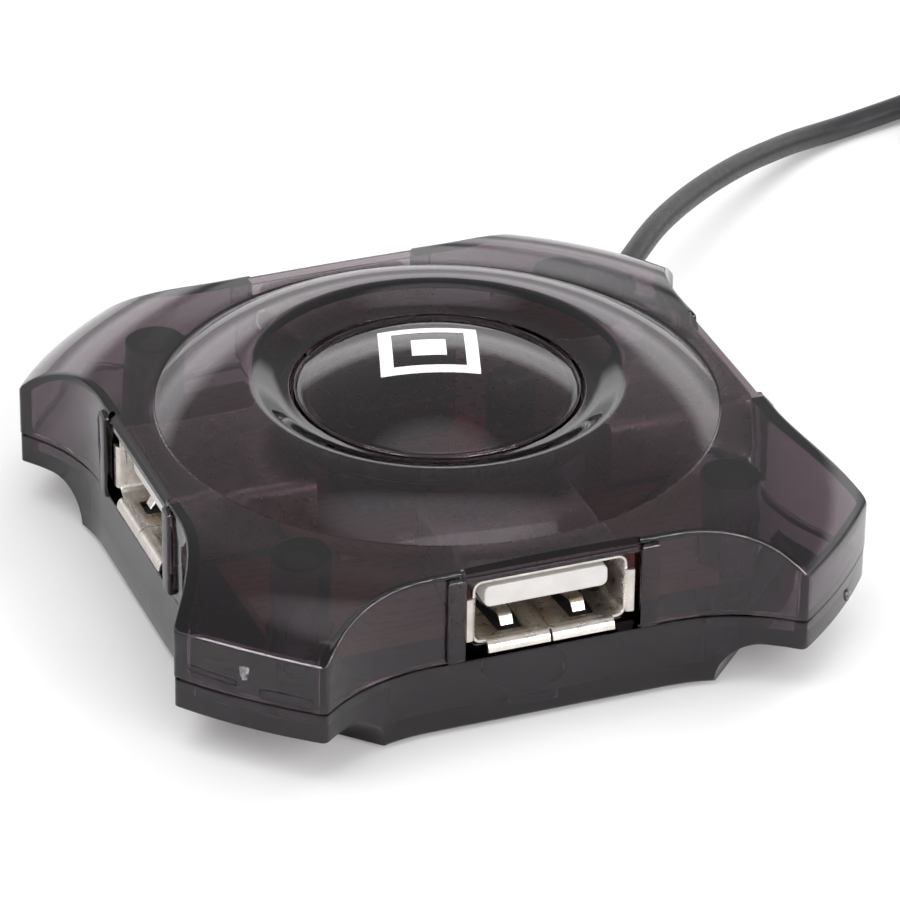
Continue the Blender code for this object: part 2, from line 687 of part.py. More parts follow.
def board_parts():
    """Controller, crystal, capacitors and the indicator lamp that stand on the board."""
    floor = BOARD_TOP_Z + GAP
    chip = [((-8.6, -3.6, floor), (-1.4, 3.6, floor + 1.4))]
    controller = add("hub_controller_chip", box_mesh("hub_controller_chip", chip), CHIP_BLACK)
    edge = controller.modifiers.new("edge", "BEVEL")
    edge.width = 0.2 * MM
    edge.segments = 1
    can = [((-5.6, 6.4, floor), (5.2, 10.6, floor + 3.4))]
    crystal = add("crystal_can", box_mesh("crystal_can", can), CAN_METAL)
    rim = crystal.modifiers.new("edge", "BEVEL")
    rim.width = 1.2 * MM
    rim.segments = 2
    for i, place in enumerate(((8.6, -5.2), (8.6, 5.4)), 1):
        name = f"smoothing_capacitor_{i}"
        drum = cylinder_mesh(name, [place], 2.1, floor, floor + 5.2)
        smooth(add(name, drum, CAN_METAL))
    small = ((-10.8, -8.6), (-6.0, -9.2), (-1.2, -9.2), (4.0, -9.2))
    for i, (x, y) in enumerate(small, 1):
        name = f"ceramic_capacitor_{i}"
        add(name, box_mesh(name, [((x - 1.0, y - 0.6, floor), (x + 1.0, y + 0.6, floor + 0.8))]), CERAMIC)
    radius = 1.5
    lamp_x, lamp_y = 2.6, 0.0
    dome = [
        (radius * math.sin(math.radians(15 * i)), floor + 3.6 + radius * math.cos(math.radians(15 * i)))
        for i in range(7)
    ]
    profile = dome + [(radius, floor + 0.8), (1.75, floor + 0.8), (1.75, floor), (0.0, floor)]
    mesh = turned_solid("indicator_led", profile, 20)
    mesh.transform(Matrix.Translation((lamp_x * MM, lamp_y * MM, 0)))
    smooth(add("indicator_led", mesh, LED_RED))


def case_screws():
    """Self-tapping screws driven up through the lower posts."""
    low, high = SCREW_HEAD_Z
    profile = [
        (0.0, SCREW_TIP_Z),
        (SCREW_RADIUS * 0.4, SCREW_TIP_Z),
        (SCREW_RADIUS, SCREW_TIP_Z - 1.4),
        (SCREW_RADIUS, high),
        (SCREW_HEAD_RADIUS, high),
        (SCREW_HEAD_RADIUS, low + 0.3),
        (SCREW_HEAD_RADIUS * 0.8, low),
        (0.0, low),
    ]
    for i, (x, y) in enumerate(on_diagonals(POST_AT), 1):
        mesh = turned_solid(f"case_screw_{i}", profile, 20)
        mesh.transform(Matrix.Translation((x * MM, y * MM, 0)))
        screw = add(f"case_screw_{i}", mesh, SCREW_STEEL)
        smooth(screw)
        bars = [
            ((x - 1.0, y - 0.2, low - 0.2), (x + 1.0, y + 0.2, low + 0.6)),
            ((x - 0.2, y - 1.0, low - 0.2), (x + 0.2, y + 1.0, low + 0.6)),
        ]
        for k, bar in enumerate(bars):
            boolean(screw, add_cutter(f"slot_{i}_{k}", box_mesh(f"slot_{i}_{k}", [bar])))


def rubber_feet():
    """Soft discs stuck in the recesses of the base."""
    places = [(0, -FOOT_AT), (FOOT_AT, 0), (0, FOOT_AT), (-FOOT_AT, 0)]
    for i, place in enumerate(places, 1):
        name = f"rubber_foot_{i}"
        foot = add(name, cylinder_mesh(name, [place], FOOT_RADIUS, 0.0, FOOT_THICKNESS, 32), RUBBER)
        smooth(foot)


def cable_entry():
    """Grommet in the corner wall, the jacket's stripped end and the four wires to the board."""
    base = -EAR_DISTANCE
    inner_radius, inner_start, inner_end = GROMMET_INNER_FLANGE
    outer_radius, outer_end = GROMMET_OUTER_FLANGE
    root, tip = GROMMET_TAPER
    profile = [
        (0.0, GROMMET_END + base),
        (tip, GROMMET_END + base),
        (root, outer_end + GAP + base),
        (outer_radius, outer_end + base),
        (outer_radius, GAP),
        (GROMMET_NECK_RADIUS, GAP),
        (GROMMET_NECK_RADIUS, inner_end + base),
        (inner_radius, inner_end + base),
        (inner_radius, inner_start + base),
        (0.0, inner_start + base),
    ]
    mesh = turned_solid("cable_grommet", profile, 24)
    mesh.transform(diagonal_frame(EAR_DISTANCE, EXIT_Z))
    smooth(add("cable_grommet", mesh, CABLE_BLACK))
    outward = Vector((1, 1, 0)).normalized()
    sideways = Vector((1, -1, 0)).normalized()
    stub = [outward * u + Vector((0, 0, EXIT_Z)) for u in (32.5, 31.9, 31.2)]
    tube("cable_jacket_end", stub, CORD_DIAMETER / 2, CABLE_BLACK)
    post = Vector((POST_AT, POST_AT, 0))
    for lane, (colour, shade) in enumerate(WIRE_COLOURS):
        start = outward * 30.9 + sideways * (0.78 * lane - 1.17) + Vector((0, 0, EXIT_Z))
        around = 3.1 + 0.78 * lane
        route = [start]
        for angle in (15, -12, -36):
            out = Vector((math.cos(math.radians(angle)), math.sin(math.radians(angle)), 0))
            route.append(post + out * around + Vector((0, 0, 7.9)))
        pad_y = 14.2 - 1.3 * lane
        route.append(Vector((19.6 - 0.2 * lane, pad_y + 0.25, 7.9)))
        route.append(Vector((18.0 - 0.4 * lane, pad_y, 7.9)))
        tube(f"wire_{colour}", smooth_route(route, 1.2), 0.27, material(f"wire_{colour}", shade, 0.4))


def band_mesh(name, low, high, thickness):
    """Closed band: a flat-sided loop with an open middle, made along local Z."""
    outer = add_cutter(f"{name}_outside", box_mesh(f"{name}_outside", [(low, high)]))
    inside = [(low[0] + thickness, low[1] + thickness, low[2] - 1.0),
              (high[0] - thickness, high[1] - thickness, high[2] + 1.0)]
    boolean(outer, add_cutter(f"{name}_inside", box_mesh(f"{name}_inside", [inside])))
    bpy.context.view_layer.update()
    graph = bpy.context.evaluated_depsgraph_get()
    return bpy.data.meshes.new_from_object(outer.evaluated_get(graph))


def cable_run():
    """Visible lead, the coil of the rest of it with its two ties, and the tail to the plug."""
    lead = smooth_route(LEAD_ROUTE, ROUTE_STEP)
    tube("cable_lead", lead, CORD_DIAMETER / 2, CABLE_BLACK)
    low, high = COIL_Z
    profile = [
        (COIL_OUTER_RADIUS - 0.8, high),
        (COIL_OUTER_RADIUS, high - 0.8),
        (COIL_OUTER_RADIUS, low + 0.8),
        (COIL_OUTER_RADIUS - 0.8, low),
        (COIL_INNER_RADIUS + 0.8, low),
        (COIL_INNER_RADIUS, low + 0.8),
        (COIL_INNER_RADIUS, high - 0.8),
        (COIL_INNER_RADIUS + 0.8, high),
    ]
    coil = turned_solid("cable_coil", profile, 40)
    coil.transform(Matrix.Translation((COIL_CENTRE[0] * MM, COIL_CENTRE[1] * MM, 0)))
    smooth(add("cable_coil", coil, CABLE_BLACK))
    clear = TIE_GAP + TIE_THICKNESS
    band_low = (COIL_INNER_RADIUS - clear, low - clear, -TIE_WIDTH / 2)
    band_high = (COIL_OUTER_RADIUS + clear, high + clear, TIE_WIDTH / 2)
    for i, degrees in enumerate((150, 330), 1):
        band = band_mesh(f"coil_tie_{i}", band_low, band_high, TIE_THICKNESS)
        stand = Matrix.Rotation(math.radians(90), 4, "X")
        turn = Matrix.Rotation(math.radians(degrees), 4, "Z")
        place = Matrix.Translation((COIL_CENTRE[0] * MM, COIL_CENTRE[1] * MM, 0))
        band.transform(place @ turn @ stand)
        add(f"coil_tie_{i}", band, TIE_BLACK)
    tail = smooth_route(TAIL_ROUTE, TAIL_STEP)
    tube("cable_tail", tail, CORD_DIAMETER / 2, CABLE_BLACK)


def usb_plug():
    """Moulded USB plug on the end of the lead: strain relief, grip, plated shell and core."""
    start, end = RELIEF_Y
    length = start - end
    tip, neck, waist, root = RELIEF_RADII
    profile = [(0.0, length), (tip, length), (neck, length * 0.8), (waist, 1.0), (root, 0.0), (0.0, 0.0)]
    relief = turned_solid("plug_strain_relief", profile, 24)
    lie = Matrix.Rotation(math.radians(-90), 4, "X")
    relief.transform(Matrix.Translation((PLUG_X * MM, end * MM, PLUG_Z * MM)) @ lie)
    smooth(add("plug_strain_relief", relief, CABLE_BLACK))
    wide, high = OVERMOULD_SIZE
    low_corner = (PLUG_X - wide / 2, OVERMOULD_Y[1], PLUG_Z - high / 2)
    high_corner = (PLUG_X + wide / 2, OVERMOULD_Y[0], PLUG_Z + high / 2)
    grip = add("plug_overmould", box_mesh("plug_overmould", [(low_corner, high_corner)]), CABLE_BLACK)
    edge = grip.modifiers.new("edge", "BEVEL")
    edge.width = OVERMOULD_BEVEL * MM
    edge.segments = 3
    wide, high = PLUG_SHELL_SIZE
    rear, mouth = PLUG_SHELL_Y
    low_corner = (PLUG_X - wide / 2, mouth, PLUG_Z - high / 2)
    high_corner = (PLUG_X + wide / 2, rear, PLUG_Z + high / 2)
    shell = add("plug_shell", box_mesh("plug_shell", [(low_corner, high_corner)]), NICKEL)
    inside = (
        (low_corner[0] + SHEET, mouth - 1.0, low_corner[2] + SHEET),
        (high_corner[0] - SHEET, rear - SHEET, high_corner[2] - SHEET),
    )
    boolean(shell, add_cutter("plug_mouth", box_mesh("plug_mouth", [inside])))
    windows = [
        ((PLUG_X + x - 1.25, mouth + 5.2, PLUG_Z - high), (PLUG_X + x + 1.25, mouth + 7.7, PLUG_Z + high))
        for x in (-2.9, 2.9)
    ]
    boolean(shell, add_cutter("plug_windows", box_mesh("plug_windows", windows)))
    core_wide, core_high = PLUG_CORE_SIZE
    core_low = (PLUG_X - core_wide / 2, mouth + 0.4, low_corner[2] + SHEET + GAP)
    core_top = (PLUG_X + core_wide / 2, rear - SHEET - GAP, core_low[2] + core_high)
    add("plug_insulator", box_mesh("plug_insulator", [(core_low, core_top)]), WHITE)


EXIT_HOLE = exit_hole_cutter()
upper_shell(EXIT_HOLE)
lower_shell(EXIT_HOLE)
lens_dome()
for port_side, port_turn in PORTS:
    usb_receptacle(port_side, port_turn)
circuit_board()
board_parts()
case_screws()
rubber_feet()
cable_entry()
cable_run()
usb_plug()
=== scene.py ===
"""Looks of a four-port USB hub in smoked plastic on a captive lead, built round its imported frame.

Metres, in the frame's own axes. The body stands on z = 0 with a port to each side, and the lead
leaves the corner between +X and +Y.
"""
import math

import bmesh
import bpy
import numpy as np
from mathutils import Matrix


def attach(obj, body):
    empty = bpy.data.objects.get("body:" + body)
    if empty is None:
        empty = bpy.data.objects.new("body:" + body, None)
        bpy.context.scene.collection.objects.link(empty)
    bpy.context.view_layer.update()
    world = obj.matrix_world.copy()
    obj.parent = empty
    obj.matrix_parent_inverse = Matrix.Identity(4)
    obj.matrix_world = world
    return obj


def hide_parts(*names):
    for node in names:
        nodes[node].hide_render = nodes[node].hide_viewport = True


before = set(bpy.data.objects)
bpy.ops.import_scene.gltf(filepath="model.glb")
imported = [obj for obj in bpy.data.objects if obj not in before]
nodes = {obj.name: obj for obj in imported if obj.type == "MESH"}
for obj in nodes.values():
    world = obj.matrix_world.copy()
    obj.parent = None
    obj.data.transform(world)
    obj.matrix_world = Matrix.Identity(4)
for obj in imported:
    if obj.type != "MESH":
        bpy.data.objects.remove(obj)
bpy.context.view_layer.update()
scene = bpy.context.scene
scene.view_settings.view_transform = "Standard"

# Camera: a long lens half a metre away, looking down at 30 degrees over the front port and the
# blunt corner beside it.
camera_data = bpy.data.cameras.new("camera")
camera_data.lens = 232.9
camera_data.sensor_width = 36.0
camera = bpy.data.objects.new("camera", camera_data)
camera.location = (-0.1481, -0.38484, 0.2495)
camera.rotation_euler = [math.radians(a) for a in (59.8706, -0.6545, -20.8223)]
scene.collection.objects.link(camera)
scene.camera = camera


# Lead: thin four-core cable in a satin black PVC jacket, extruded, with faint draw marks along it.
# It leaves the corner grommet, sags to the table and runs to a tied coil of the spare length.
MM = 0.001
LEAD_WAY = np.array([
    (27.2, 27.1, 7.52), (28.1, 28.1, 7.52), (30.7, 31.1, 7.5), (33.3, 34.3, 7.3),
    (36.1, 37.5, 6.8), (39.3, 40.8, 6.2), (43.0, 44.4, 5.4), (46.9, 47.9, 4.5),
    (50.1, 50.6, 3.7), (53.1, 52.9, 2.9), (56.1, 55.15, 2.15), (59.0, 56.8, 1.55),
    (61.6, 58.0, 1.15), (64.1, 58.75, 1.08), (68.6, 59.85, 1.2), (73.8, 61.05, 1.5),
    (78.3, 62.05, 1.58),
])
COIL_CENTRE = np.array((86.0, 48.6))
TAIL_WAY = np.array([
    (100.8, 45.6, 3.66), (100.82, 42.6, 3.45), (100.85, 39.6, 3.2), (100.95, 37.2, 2.75),
    (101.0, 34.8, 2.6), (101.0, 32.4, 3.0), (101.0, 30.0, 3.7), (101.0, 29.3, 3.86),
])
CORD_DIAMETER = 2.15


def coil_way(first_angle, turns, outer, inner, low, high, per_turn=20):
    """Flat spiral in and out again: radius falls by one cord per turn to the inner turn, height
    steps up there along half a cosine, then the radius grows by one cord per turn."""
    t = np.linspace(0.0, 1.0, int(turns * per_turn) + 1)
    angle = first_angle - 2 * math.pi * turns * t
    fall, climb = 2.5 / turns, 2.75 / turns
    radius = np.interp(t, [0.0, fall, climb, 1.0], [outer, inner, inner, outer])
    rise = np.clip((t - fall) / (climb - fall), 0.0, 1.0)
    height = low + (high - low) * (0.5 - 0.5 * np.cos(math.pi * rise))
    x = COIL_CENTRE[0] + radius * np.cos(angle)
    y = COIL_CENTRE[1] + radius * np.sin(angle)
    return np.stack([x, y, height], 1)


coil = coil_way(math.radians(102.8), 5 + 102.8 / 360, 14.8, 9.2, 1.58, 3.73)
cord_way = np.concatenate([LEAD_WAY, coil, TAIL_WAY])
cord_curve = bpy.data.curves.new("cable", "CURVE")
cord_curve.dimensions = "3D"
cord_curve.bevel_depth = CORD_DIAMETER / 2 * MM
cord_curve.bevel_resolution = 6
cord_curve.use_fill_caps = True
cord_curve.resolution_u = 4
run = cord_curve.splines.new("NURBS")
run.points.add(len(cord_way) - 1)
run.points.foreach_set("co", np.column_stack([cord_way * MM, np.ones(len(cord_way))]).ravel())
run.order_u = 4
run.use_endpoint_u = True
cable = bpy.data.objects.new("cable", cord_curve)
scene.collection.objects.link(cable)


def new_finish(name):
    """A named node material: its node tree, its Principled shader and its output."""
    finish = bpy.data.materials.new(name)
    finish.use_nodes = True
    tree = finish.node_tree
    return finish, tree, tree.nodes["Principled BSDF"], tree.nodes["Material Output"]


def put(tree, kind, **values):
    """A node with some of its sockets and properties set."""
    node = tree.nodes.new(kind)
    for key, value in values.items():
        if key in node.inputs:
            node.inputs[key].default_value = value
        else:
            setattr(node, key, value)
    return node


def relief(tree, shader, height, strength, distance):
    """Bump from a height socket into the shader's normal."""
    bump = put(tree, "ShaderNodeBump", Strength=strength, Distance=distance)
    tree.links.new(height, bump.inputs["Height"])
    tree.links.new(bump.outputs["Normal"], shader.inputs["Normal"])


def mottle(tree, scale, low, high, detail=3.0):
    """Noise on Object coordinates, spread between two plain values; returns the socket."""
    place = put(tree, "ShaderNodeTexCoord")
    noise = put(tree, "ShaderNodeTexNoise", Scale=scale, Detail=detail)
    spread = put(tree, "ShaderNodeMapRange")
    spread.inputs["From Min"].default_value = 0.3
    spread.inputs["From Max"].default_value = 0.7
    spread.inputs["To Min"].default_value = low
    spread.inputs["To Max"].default_value = high
    tree.links.new(place.outputs["Object"], noise.inputs["Vector"])
    tree.links.new(noise.outputs["Fac"], spread.inputs["Value"])
    return spread.outputs["Result"]


def tint(tree, shader, factor, first, second):
    """Base colour mixed between two colours by a 0 to 1 socket."""
    mix = put(tree, "ShaderNodeMix", data_type="RGBA")
    mix.inputs["A"].default_value = (*first, 1.0)
    mix.inputs["B"].default_value = (*second, 1.0)
    tree.links.new(factor, mix.inputs["Factor"])
    tree.links.new(mix.outputs["Result"], shader.inputs["Base Color"])


def coat(name, grain, dark, light, rough, bump=None, metal=0.0):
    """A mottled finish: colour between two by noise of one scale, roughness plain or by noise of
    (scale, low, high), bump by noise of (scale, strength, distance)."""
    finish, tree, shader, _ = new_finish(name)
    tint(tree, shader, mottle(tree, grain, 0.0, 1.0), dark, light)
    if isinstance(rough, tuple):
        tree.links.new(mottle(tree, *rough), shader.inputs["Roughness"])
    else:
        shader.inputs["Roughness"].default_value = rough
    if bump:
        relief(tree, shader, mottle(tree, bump[0], 0.0, 1.0), *bump[1:])
    shader.inputs["Metallic"].default_value = metal
    return finish, tree, shader


cable_finish, _, shader = coat(
    "cable_pvc", 900.0, (0.012, 0.0105, 0.012), (0.02, 0.0175, 0.02), (2500.0, 0.36, 0.5),
    (4000.0, 0.12, 0.0001),
)
shader.inputs["Specular IOR Level"].default_value = 0.6
cable.data.materials.append(cable_finish)
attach(cable, "root")
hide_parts("cable_lead", "cable_coil", "cable_tail")


# Table top and studio: a plain pale sweep and a bright band of paper low down all round, under a
# darker ceiling. Three soft lamps light matte surfaces, and three cards only draw bright edges.
def lamp(name, place, size, watts, mirror=False):
    """A rectangular area lamp turned towards the origin. It lights matte surfaces and is unseen in
    shiny ones, or the other way round for a mirror card."""
    data = bpy.data.lights.new(name, "AREA")
    data.shape = "RECTANGLE"
    data.size, data.size_y = size
    data.energy = watts
    held = bpy.data.objects.new(name, data)
    held.location = place
    held.rotation_euler = held.location.to_track_quat("Z", "Y").to_euler()
    held.visible_glossy = mirror
    held.visible_diffuse = not mirror
    held.visible_transmission = False
    scene.collection.objects.link(held)


def floor_mesh(half, rings=48):
    """Round disc of rings of quads: radius grows evenly, height is 0."""
    angle = np.linspace(0.0, 2 * math.pi, 97)[:-1]
    radius = np.linspace(0.0005, half, rings)
    x = radius[:, None] * np.cos(angle)
    y = radius[:, None] * np.sin(angle)
    points = np.stack([x, y, np.full_like(x, -0.00002)], 2).reshape(-1, 3)
    return points, grid_faces(rings, 96, False, True)


def grid_faces(rows, columns, wrap_rows, wrap_columns):
    """Quads of a rows by columns grid of points, joined round where it wraps."""
    r = np.arange(rows if wrap_rows else rows - 1)
    c = np.arange(columns if wrap_columns else columns - 1)
    r, c = (a.ravel() for a in np.meshgrid(r, c, indexing="ij"))
    r2, c2 = (r + 1) % rows, (c + 1) % columns
    return np.stack([r * columns + c, r * columns + c2, r2 * columns + c2, r2 * columns + c], 1)


def piece_of(name, points, faces, finish, angle=35.0, outward=True):
    """A mesh object from arrays of points and faces, its normals pointing out."""
    mesh = bpy.data.meshes.new(name)
    mesh.from_pydata(points.reshape(-1, 3).tolist(), [], [list(f) for f in faces])
    if outward:
        turn_outward(mesh)
    mesh.shade_smooth()
    mesh.set_sharp_from_angle(angle=math.radians(angle))
    mesh.materials.append(finish)
    made = bpy.data.objects.new(name, mesh)
    scene.collection.objects.link(made)
    return made


def turn_outward(mesh):
    """Merge doubles and point every face outwards."""
    work = bmesh.new()
    work.from_mesh(mesh)
    bmesh.ops.remove_doubles(work, verts=work.verts, dist=2e-7)
    bmesh.ops.recalc_face_normals(work, faces=work.faces)
    work.to_mesh(mesh)
    work.free()


table_finish, _, _ = coat(
    "table_paper", 60.0, (0.86, 0.86, 0.86), (0.89, 0.89, 0.89), 0.75
)
points, faces = floor_mesh(3.0)
table = piece_of("table", points, faces, table_finish, outward=False)

world = bpy.data.worlds.new("studio")
scene.world = world
world.use_nodes = True
sky = world.node_tree
look = put(sky, "ShaderNodeTexCoord")
split = put(sky, "ShaderNodeSeparateXYZ")
ramp = put(sky, "ShaderNodeValToRGB")
sky.links.new(look.outputs["Generated"], split.inputs["Vector"])
sky.links.new(split.outputs["Z"], ramp.inputs["Fac"])
bands = ramp.color_ramp
bands.elements[0].position = 0.0
bands.elements[0].color = (0.62, 0.62, 0.62, 1.0)
bands.elements[1].position = 1.0
bands.elements[1].color = (1.6, 1.6, 1.62, 1.0)
LEVELS = ((0.1, 0.9), (0.2, 1.9), (0.34, 1.9), (0.43, 0.5), (0.9, 0.55), (0.96, 1.5))
for height, level in LEVELS:
    stop = bands.elements.new(height)
    stop.color = (level, level, level * 1.01, 1.0)
background = sky.nodes["Background"]
sky.links.new(ramp.outputs["Color"], background.inputs["Color"])

lamp("key", (-0.35, -0.1, 0.75), (0.5, 0.5), 1.8)
lamp("fill", (0.55, 0.25, 0.6), (0.5, 0.5), 1.9)
lamp("front_fill", (0.15, -0.62, 0.42), (0.6, 0.4), 2.6)
lamp("front_card", (0.19, -0.6, 0.27), (0.6, 0.2), 5.0, mirror=True)
lamp("left_card", (-0.56, -0.3, 0.27), (0.4, 0.2), 3.0, mirror=True)
lamp("top_card", (0.0, -0.16, 0.72), (0.62, 0.1), 0.22, mirror=True)


# Upper shell: injection-moulded smoke-grey translucent ABS, about 1.1 mm thick, glossy outside.
# A turned bowl, ring and pillow top meets walls that swoop out to four blunt ears; it rests on the
# lower shell at the seam, and its four hanging posts take the screws.
SIDE, FLAT, SWOOP = 25.7, 10.0, 15.3
EAR, EAR_RADIUS = 35.63, 47.6
SEAM, GROOVE = 6.5, 0.06
WALL, ROOF = 1.1, 1.0


def bend(start, end, centre, steps):
    """Points of the shorter arc from start to end about a centre, the end left out."""
    a, b, c = (np.asarray(p, float) for p in (start, end, centre))
    first = math.atan2(*(a - c)[::-1])
    last = math.atan2(*(b - c)[::-1])
    sweep = (last - first + math.pi) % (2 * math.pi) - math.pi
    turn = first + sweep * np.arange(steps) / steps
    return c + np.linalg.norm(a - c) * np.stack([np.cos(turn), np.sin(turn)], 1)


def swung(point, centre, arc_length):
    """A point moved counter-clockwise round a centre by a length of arc."""
    x, y = point - centre
    angle = arc_length / math.hypot(x, y)
    c, s = math.cos(angle), math.sin(angle)
    return centre + np.array((c * x - s * y, s * x + c * y))


def plan(inset, tip_round=0.5):
    """Plan of the body, moved in by an inset: flat, swoop and ear arcs, each ear tip rounded with
    a quadratic curve, mirrored in the diagonal and turned onto all four sides."""
    swoop_centre = np.array((FLAT, -SIDE - SWOOP))
    back = (EAR - EAR_RADIUS) / math.sqrt(2)
    ear_centre = np.array((back, -back))
    gap = ear_centre - swoop_centre
    span = np.linalg.norm(gap)
    a, b = SWOOP + inset, EAR_RADIUS - inset
    along = (span**2 + a**2 - b**2) / (2 * span)
    unit = gap / span
    across = math.sqrt(a**2 - along**2) * np.array((-unit[1], unit[0]))
    tip = max((swoop_centre + unit * along + k * across for k in (1, -1)), key=lambda p: p[0] - p[1])
    before = swung(tip, swoop_centre, tip_round)
    after = swung(tip, ear_centre, tip_round)
    start = np.array((FLAT, -SIDE + inset))
    flat = np.stack([np.linspace(0.0, FLAT, 11)[:-1], np.full(10, start[1])], 1)
    t = (np.arange(6) / 6)[:, None]
    corner = (1 - t) ** 2 * before + 2 * t * (1 - t) * tip + t**2 * after
    middle = ear_centre + b * np.array((1, -1)) / math.sqrt(2)
    half = np.concatenate([
        flat, bend(start, before, swoop_centre, 26), corner, bend(after, middle, ear_centre, 9),
        middle[None],
    ])
    quarter = np.concatenate([half, np.stack([-half[::-1, 1], -half[::-1, 0]], 1)[1:-1]])
    turns = [quarter]
    for _ in range(3):
        turns.append(np.stack([-turns[-1][:, 1], turns[-1][:, 0]], 1))
    return np.concatenate(turns)


def eased(points, cuts, steps=5):
    """A line of points with some corners cut: a quadratic curve from a cut before each to a cut
    after it."""
    points = np.asarray(points, float)
    line = [points[0]]
    for before, here, after, cut in zip(points, points[1:], points[2:], cuts[1:]):
        if cut == 0.0:
            line.append(here)
            continue
        a = here + (before - here) * min(0.5, cut / np.linalg.norm(before - here))
        b = here + (after - here) * min(0.5, cut / np.linalg.norm(after - here))
        for t in np.arange(steps + 1) / steps:
            line.append((1 - t) ** 2 * a + 2 * t * (1 - t) * here + t**2 * b)
    line.append(points[-1])
    return np.array(line)


CREST, CREST_TILT, RING_FOOT = (15.42, 17.7), math.radians(4.2), (22.88, 14.95)
PILLOW, PILLOW_RADIUS = (27.0, 14.7), 11.8


def ring_back(drop=0.0, steps=14):
    """Convex back of the ring from crest to foot: one arc, its radius shorter by a drop."""
    run, fall = RING_FOOT[0] - CREST[0], CREST[1] - RING_FOOT[1]
    end = 2 * math.atan2(fall, run) - CREST_TILT
    radius = run / (math.sin(end) - math.sin(CREST_TILT))
    tilt = np.linspace(CREST_TILT, end, steps + 1)
    r = CREST[0] - radius * math.sin(CREST_TILT) + (radius - drop) * np.sin(tilt)
    z = CREST[1] - radius * math.cos(CREST_TILT) + (radius - drop) * np.cos(tilt)
    return np.stack([r, z], 1)


def pillow_back(drop=0.0, steps=24):
    """Falling edge of the pillow: one arc from level to past the ears, shorter by a drop."""
    tilt = np.linspace(0.0, math.asin(10.2 / PILLOW_RADIUS), steps + 1)
    size = PILLOW_RADIUS - drop
    r = PILLOW[0] + size * np.sin(tilt)
    return np.stack([r, PILLOW[1] - PILLOW_RADIUS + size * np.cos(tilt)], 1)


def shell_loop(join, line, roof_line, edge, seam_z, wall):
    """Closed section of a shell for every point of the plan, as rows of a grid.

    The turned line as circles out to the join, then straight to the plan, a quarter round over
    the edge, down the wall to the seam, and back inside along the inner wall and the roof line."""
    outer = plan(0.0)
    angle = np.arctan2(outer[:, 1], outer[:, 0])
    around = np.stack([np.cos(angle), np.sin(angle)], 1)
    rows = []

    def circle(r, z):
        rows.append(np.column_stack([around * r, np.full(len(around), z)]))

    def across(inset, z_line, share, sink=0.0):
        xy = (1 - share) * around * join + share * plan(inset)
        rows.append(np.column_stack([xy, np.interp(np.hypot(*xy.T), *z_line.T) - sink]))

    for r, z in line[line[:, 0] <= join + 1e-9]:
        circle(r, z)
    turned = line[np.argmax(line[:, 0] > 17.0):]
    for share in np.linspace(0.0, 1.0, 17)[1:]:
        across(edge, turned, share)
    for a in np.radians((22.5, 45.0, 67.5, 90.0)):
        across(edge * (1 - math.sin(a)), turned, 1.0, edge * (1 - math.cos(a)))
    top = rows[-1][:, 2]
    for share in (0.25, 0.5, 0.75, 1.0):
        rows.append(np.column_stack([outer, top + (seam_z + 0.1 - top) * share]))
    for inset, z in ((0.1, seam_z), (wall - 0.1, seam_z), (wall, seam_z + 0.1)):
        rows.append(np.column_stack([plan(inset), np.full(len(outer), z)]))
    inner = plan(wall)
    roof = np.interp(np.hypot(*inner.T), *roof_line.T)
    for share in (0.33, 0.67):
        rows.append(np.column_stack([inner, seam_z + 0.1 + (roof - seam_z - 0.1) * share]))
    for share in np.linspace(1.0, 0.0, 15):
        across(wall, roof_line, share)
    for r, z in roof_line[roof_line[:, 0] < join - 1e-9][::-1]:
        circle(r, z)
    return np.array(rows)


def rounded_ring(width, depth, corner, steps=5):
    """Rectangle about the origin with round corners, counter-clockwise."""
    turn = np.linspace(0.0, math.pi / 2, steps + 1)
    points = []
    for k, (sx, sy) in enumerate(((1, 1), (-1, 1), (-1, -1), (1, -1))):
        centre = np.array((sx * (width / 2 - corner), sy * (depth / 2 - corner)))
        angle = turn + k * math.pi / 2
        points.append(centre + corner * np.stack([np.cos(angle), np.sin(angle)], 1))
    return np.concatenate(points)


def block(low, high, corner, edge, steps=4):
    """Upright block with round corners and quarter-round top and bottom edges: rings of the
    rectangle, drawn in by edge times one minus the sine while they climb by one minus the cosine."""
    low, high = np.asarray(low, float), np.asarray(high, float)
    size, middle = high - low, (low + high) / 2
    turn = np.linspace(0.0, math.pi / 2, steps + 1)
    draw = edge * (1 - np.sin(turn))
    climb = edge * (1 - np.cos(turn))
    levels = list(zip(draw, low[2] + climb)) + list(zip(draw[::-1], high[2] - climb[::-1]))
    rings = []
    for inset, z in levels:
        ring = rounded_ring(size[0] - 2 * inset, size[1] - 2 * inset, max(corner - inset, 0.02), steps)
        rings.append(np.column_stack([ring + middle[:2], np.full(len(ring), z)]))
    return np.array(rings)


def grid_solid(rows):
    """Points and faces of a stack of rings with a flat face at each end."""
    count, around = rows.shape[:2]
    faces = grid_faces(count, around, False, True).tolist()
    faces.append(list(range(around))[::-1])
    faces.append(list(range((count - 1) * around, count * around)))
    return rows.reshape(-1, 3), faces


def tool(name, points, faces):
    """A closed mesh object that cuts or joins another and is then removed."""
    mesh = bpy.data.meshes.new(name)
    mesh.from_pydata((np.asarray(points).reshape(-1, 3) * MM).tolist(), [], [list(f) for f in faces])
    turn_outward(mesh)
    made = bpy.data.objects.new(name, mesh)
    scene.collection.objects.link(made)
    return made


def four_round(points, faces):
    """The same solid on all four sides of the body."""
    points = np.asarray(points).reshape(-1, 3)
    sets, all_faces = [], []
    for k in range(4):
        c, s = round(math.cos(k * math.pi / 2)), round(math.sin(k * math.pi / 2))
        sets.append(points @ np.array(((c, s, 0), (-s, c, 0), (0, 0, 1)), float))
        all_faces += [[i + k * len(points) for i in f] for f in faces]
    return np.concatenate(sets), all_faces


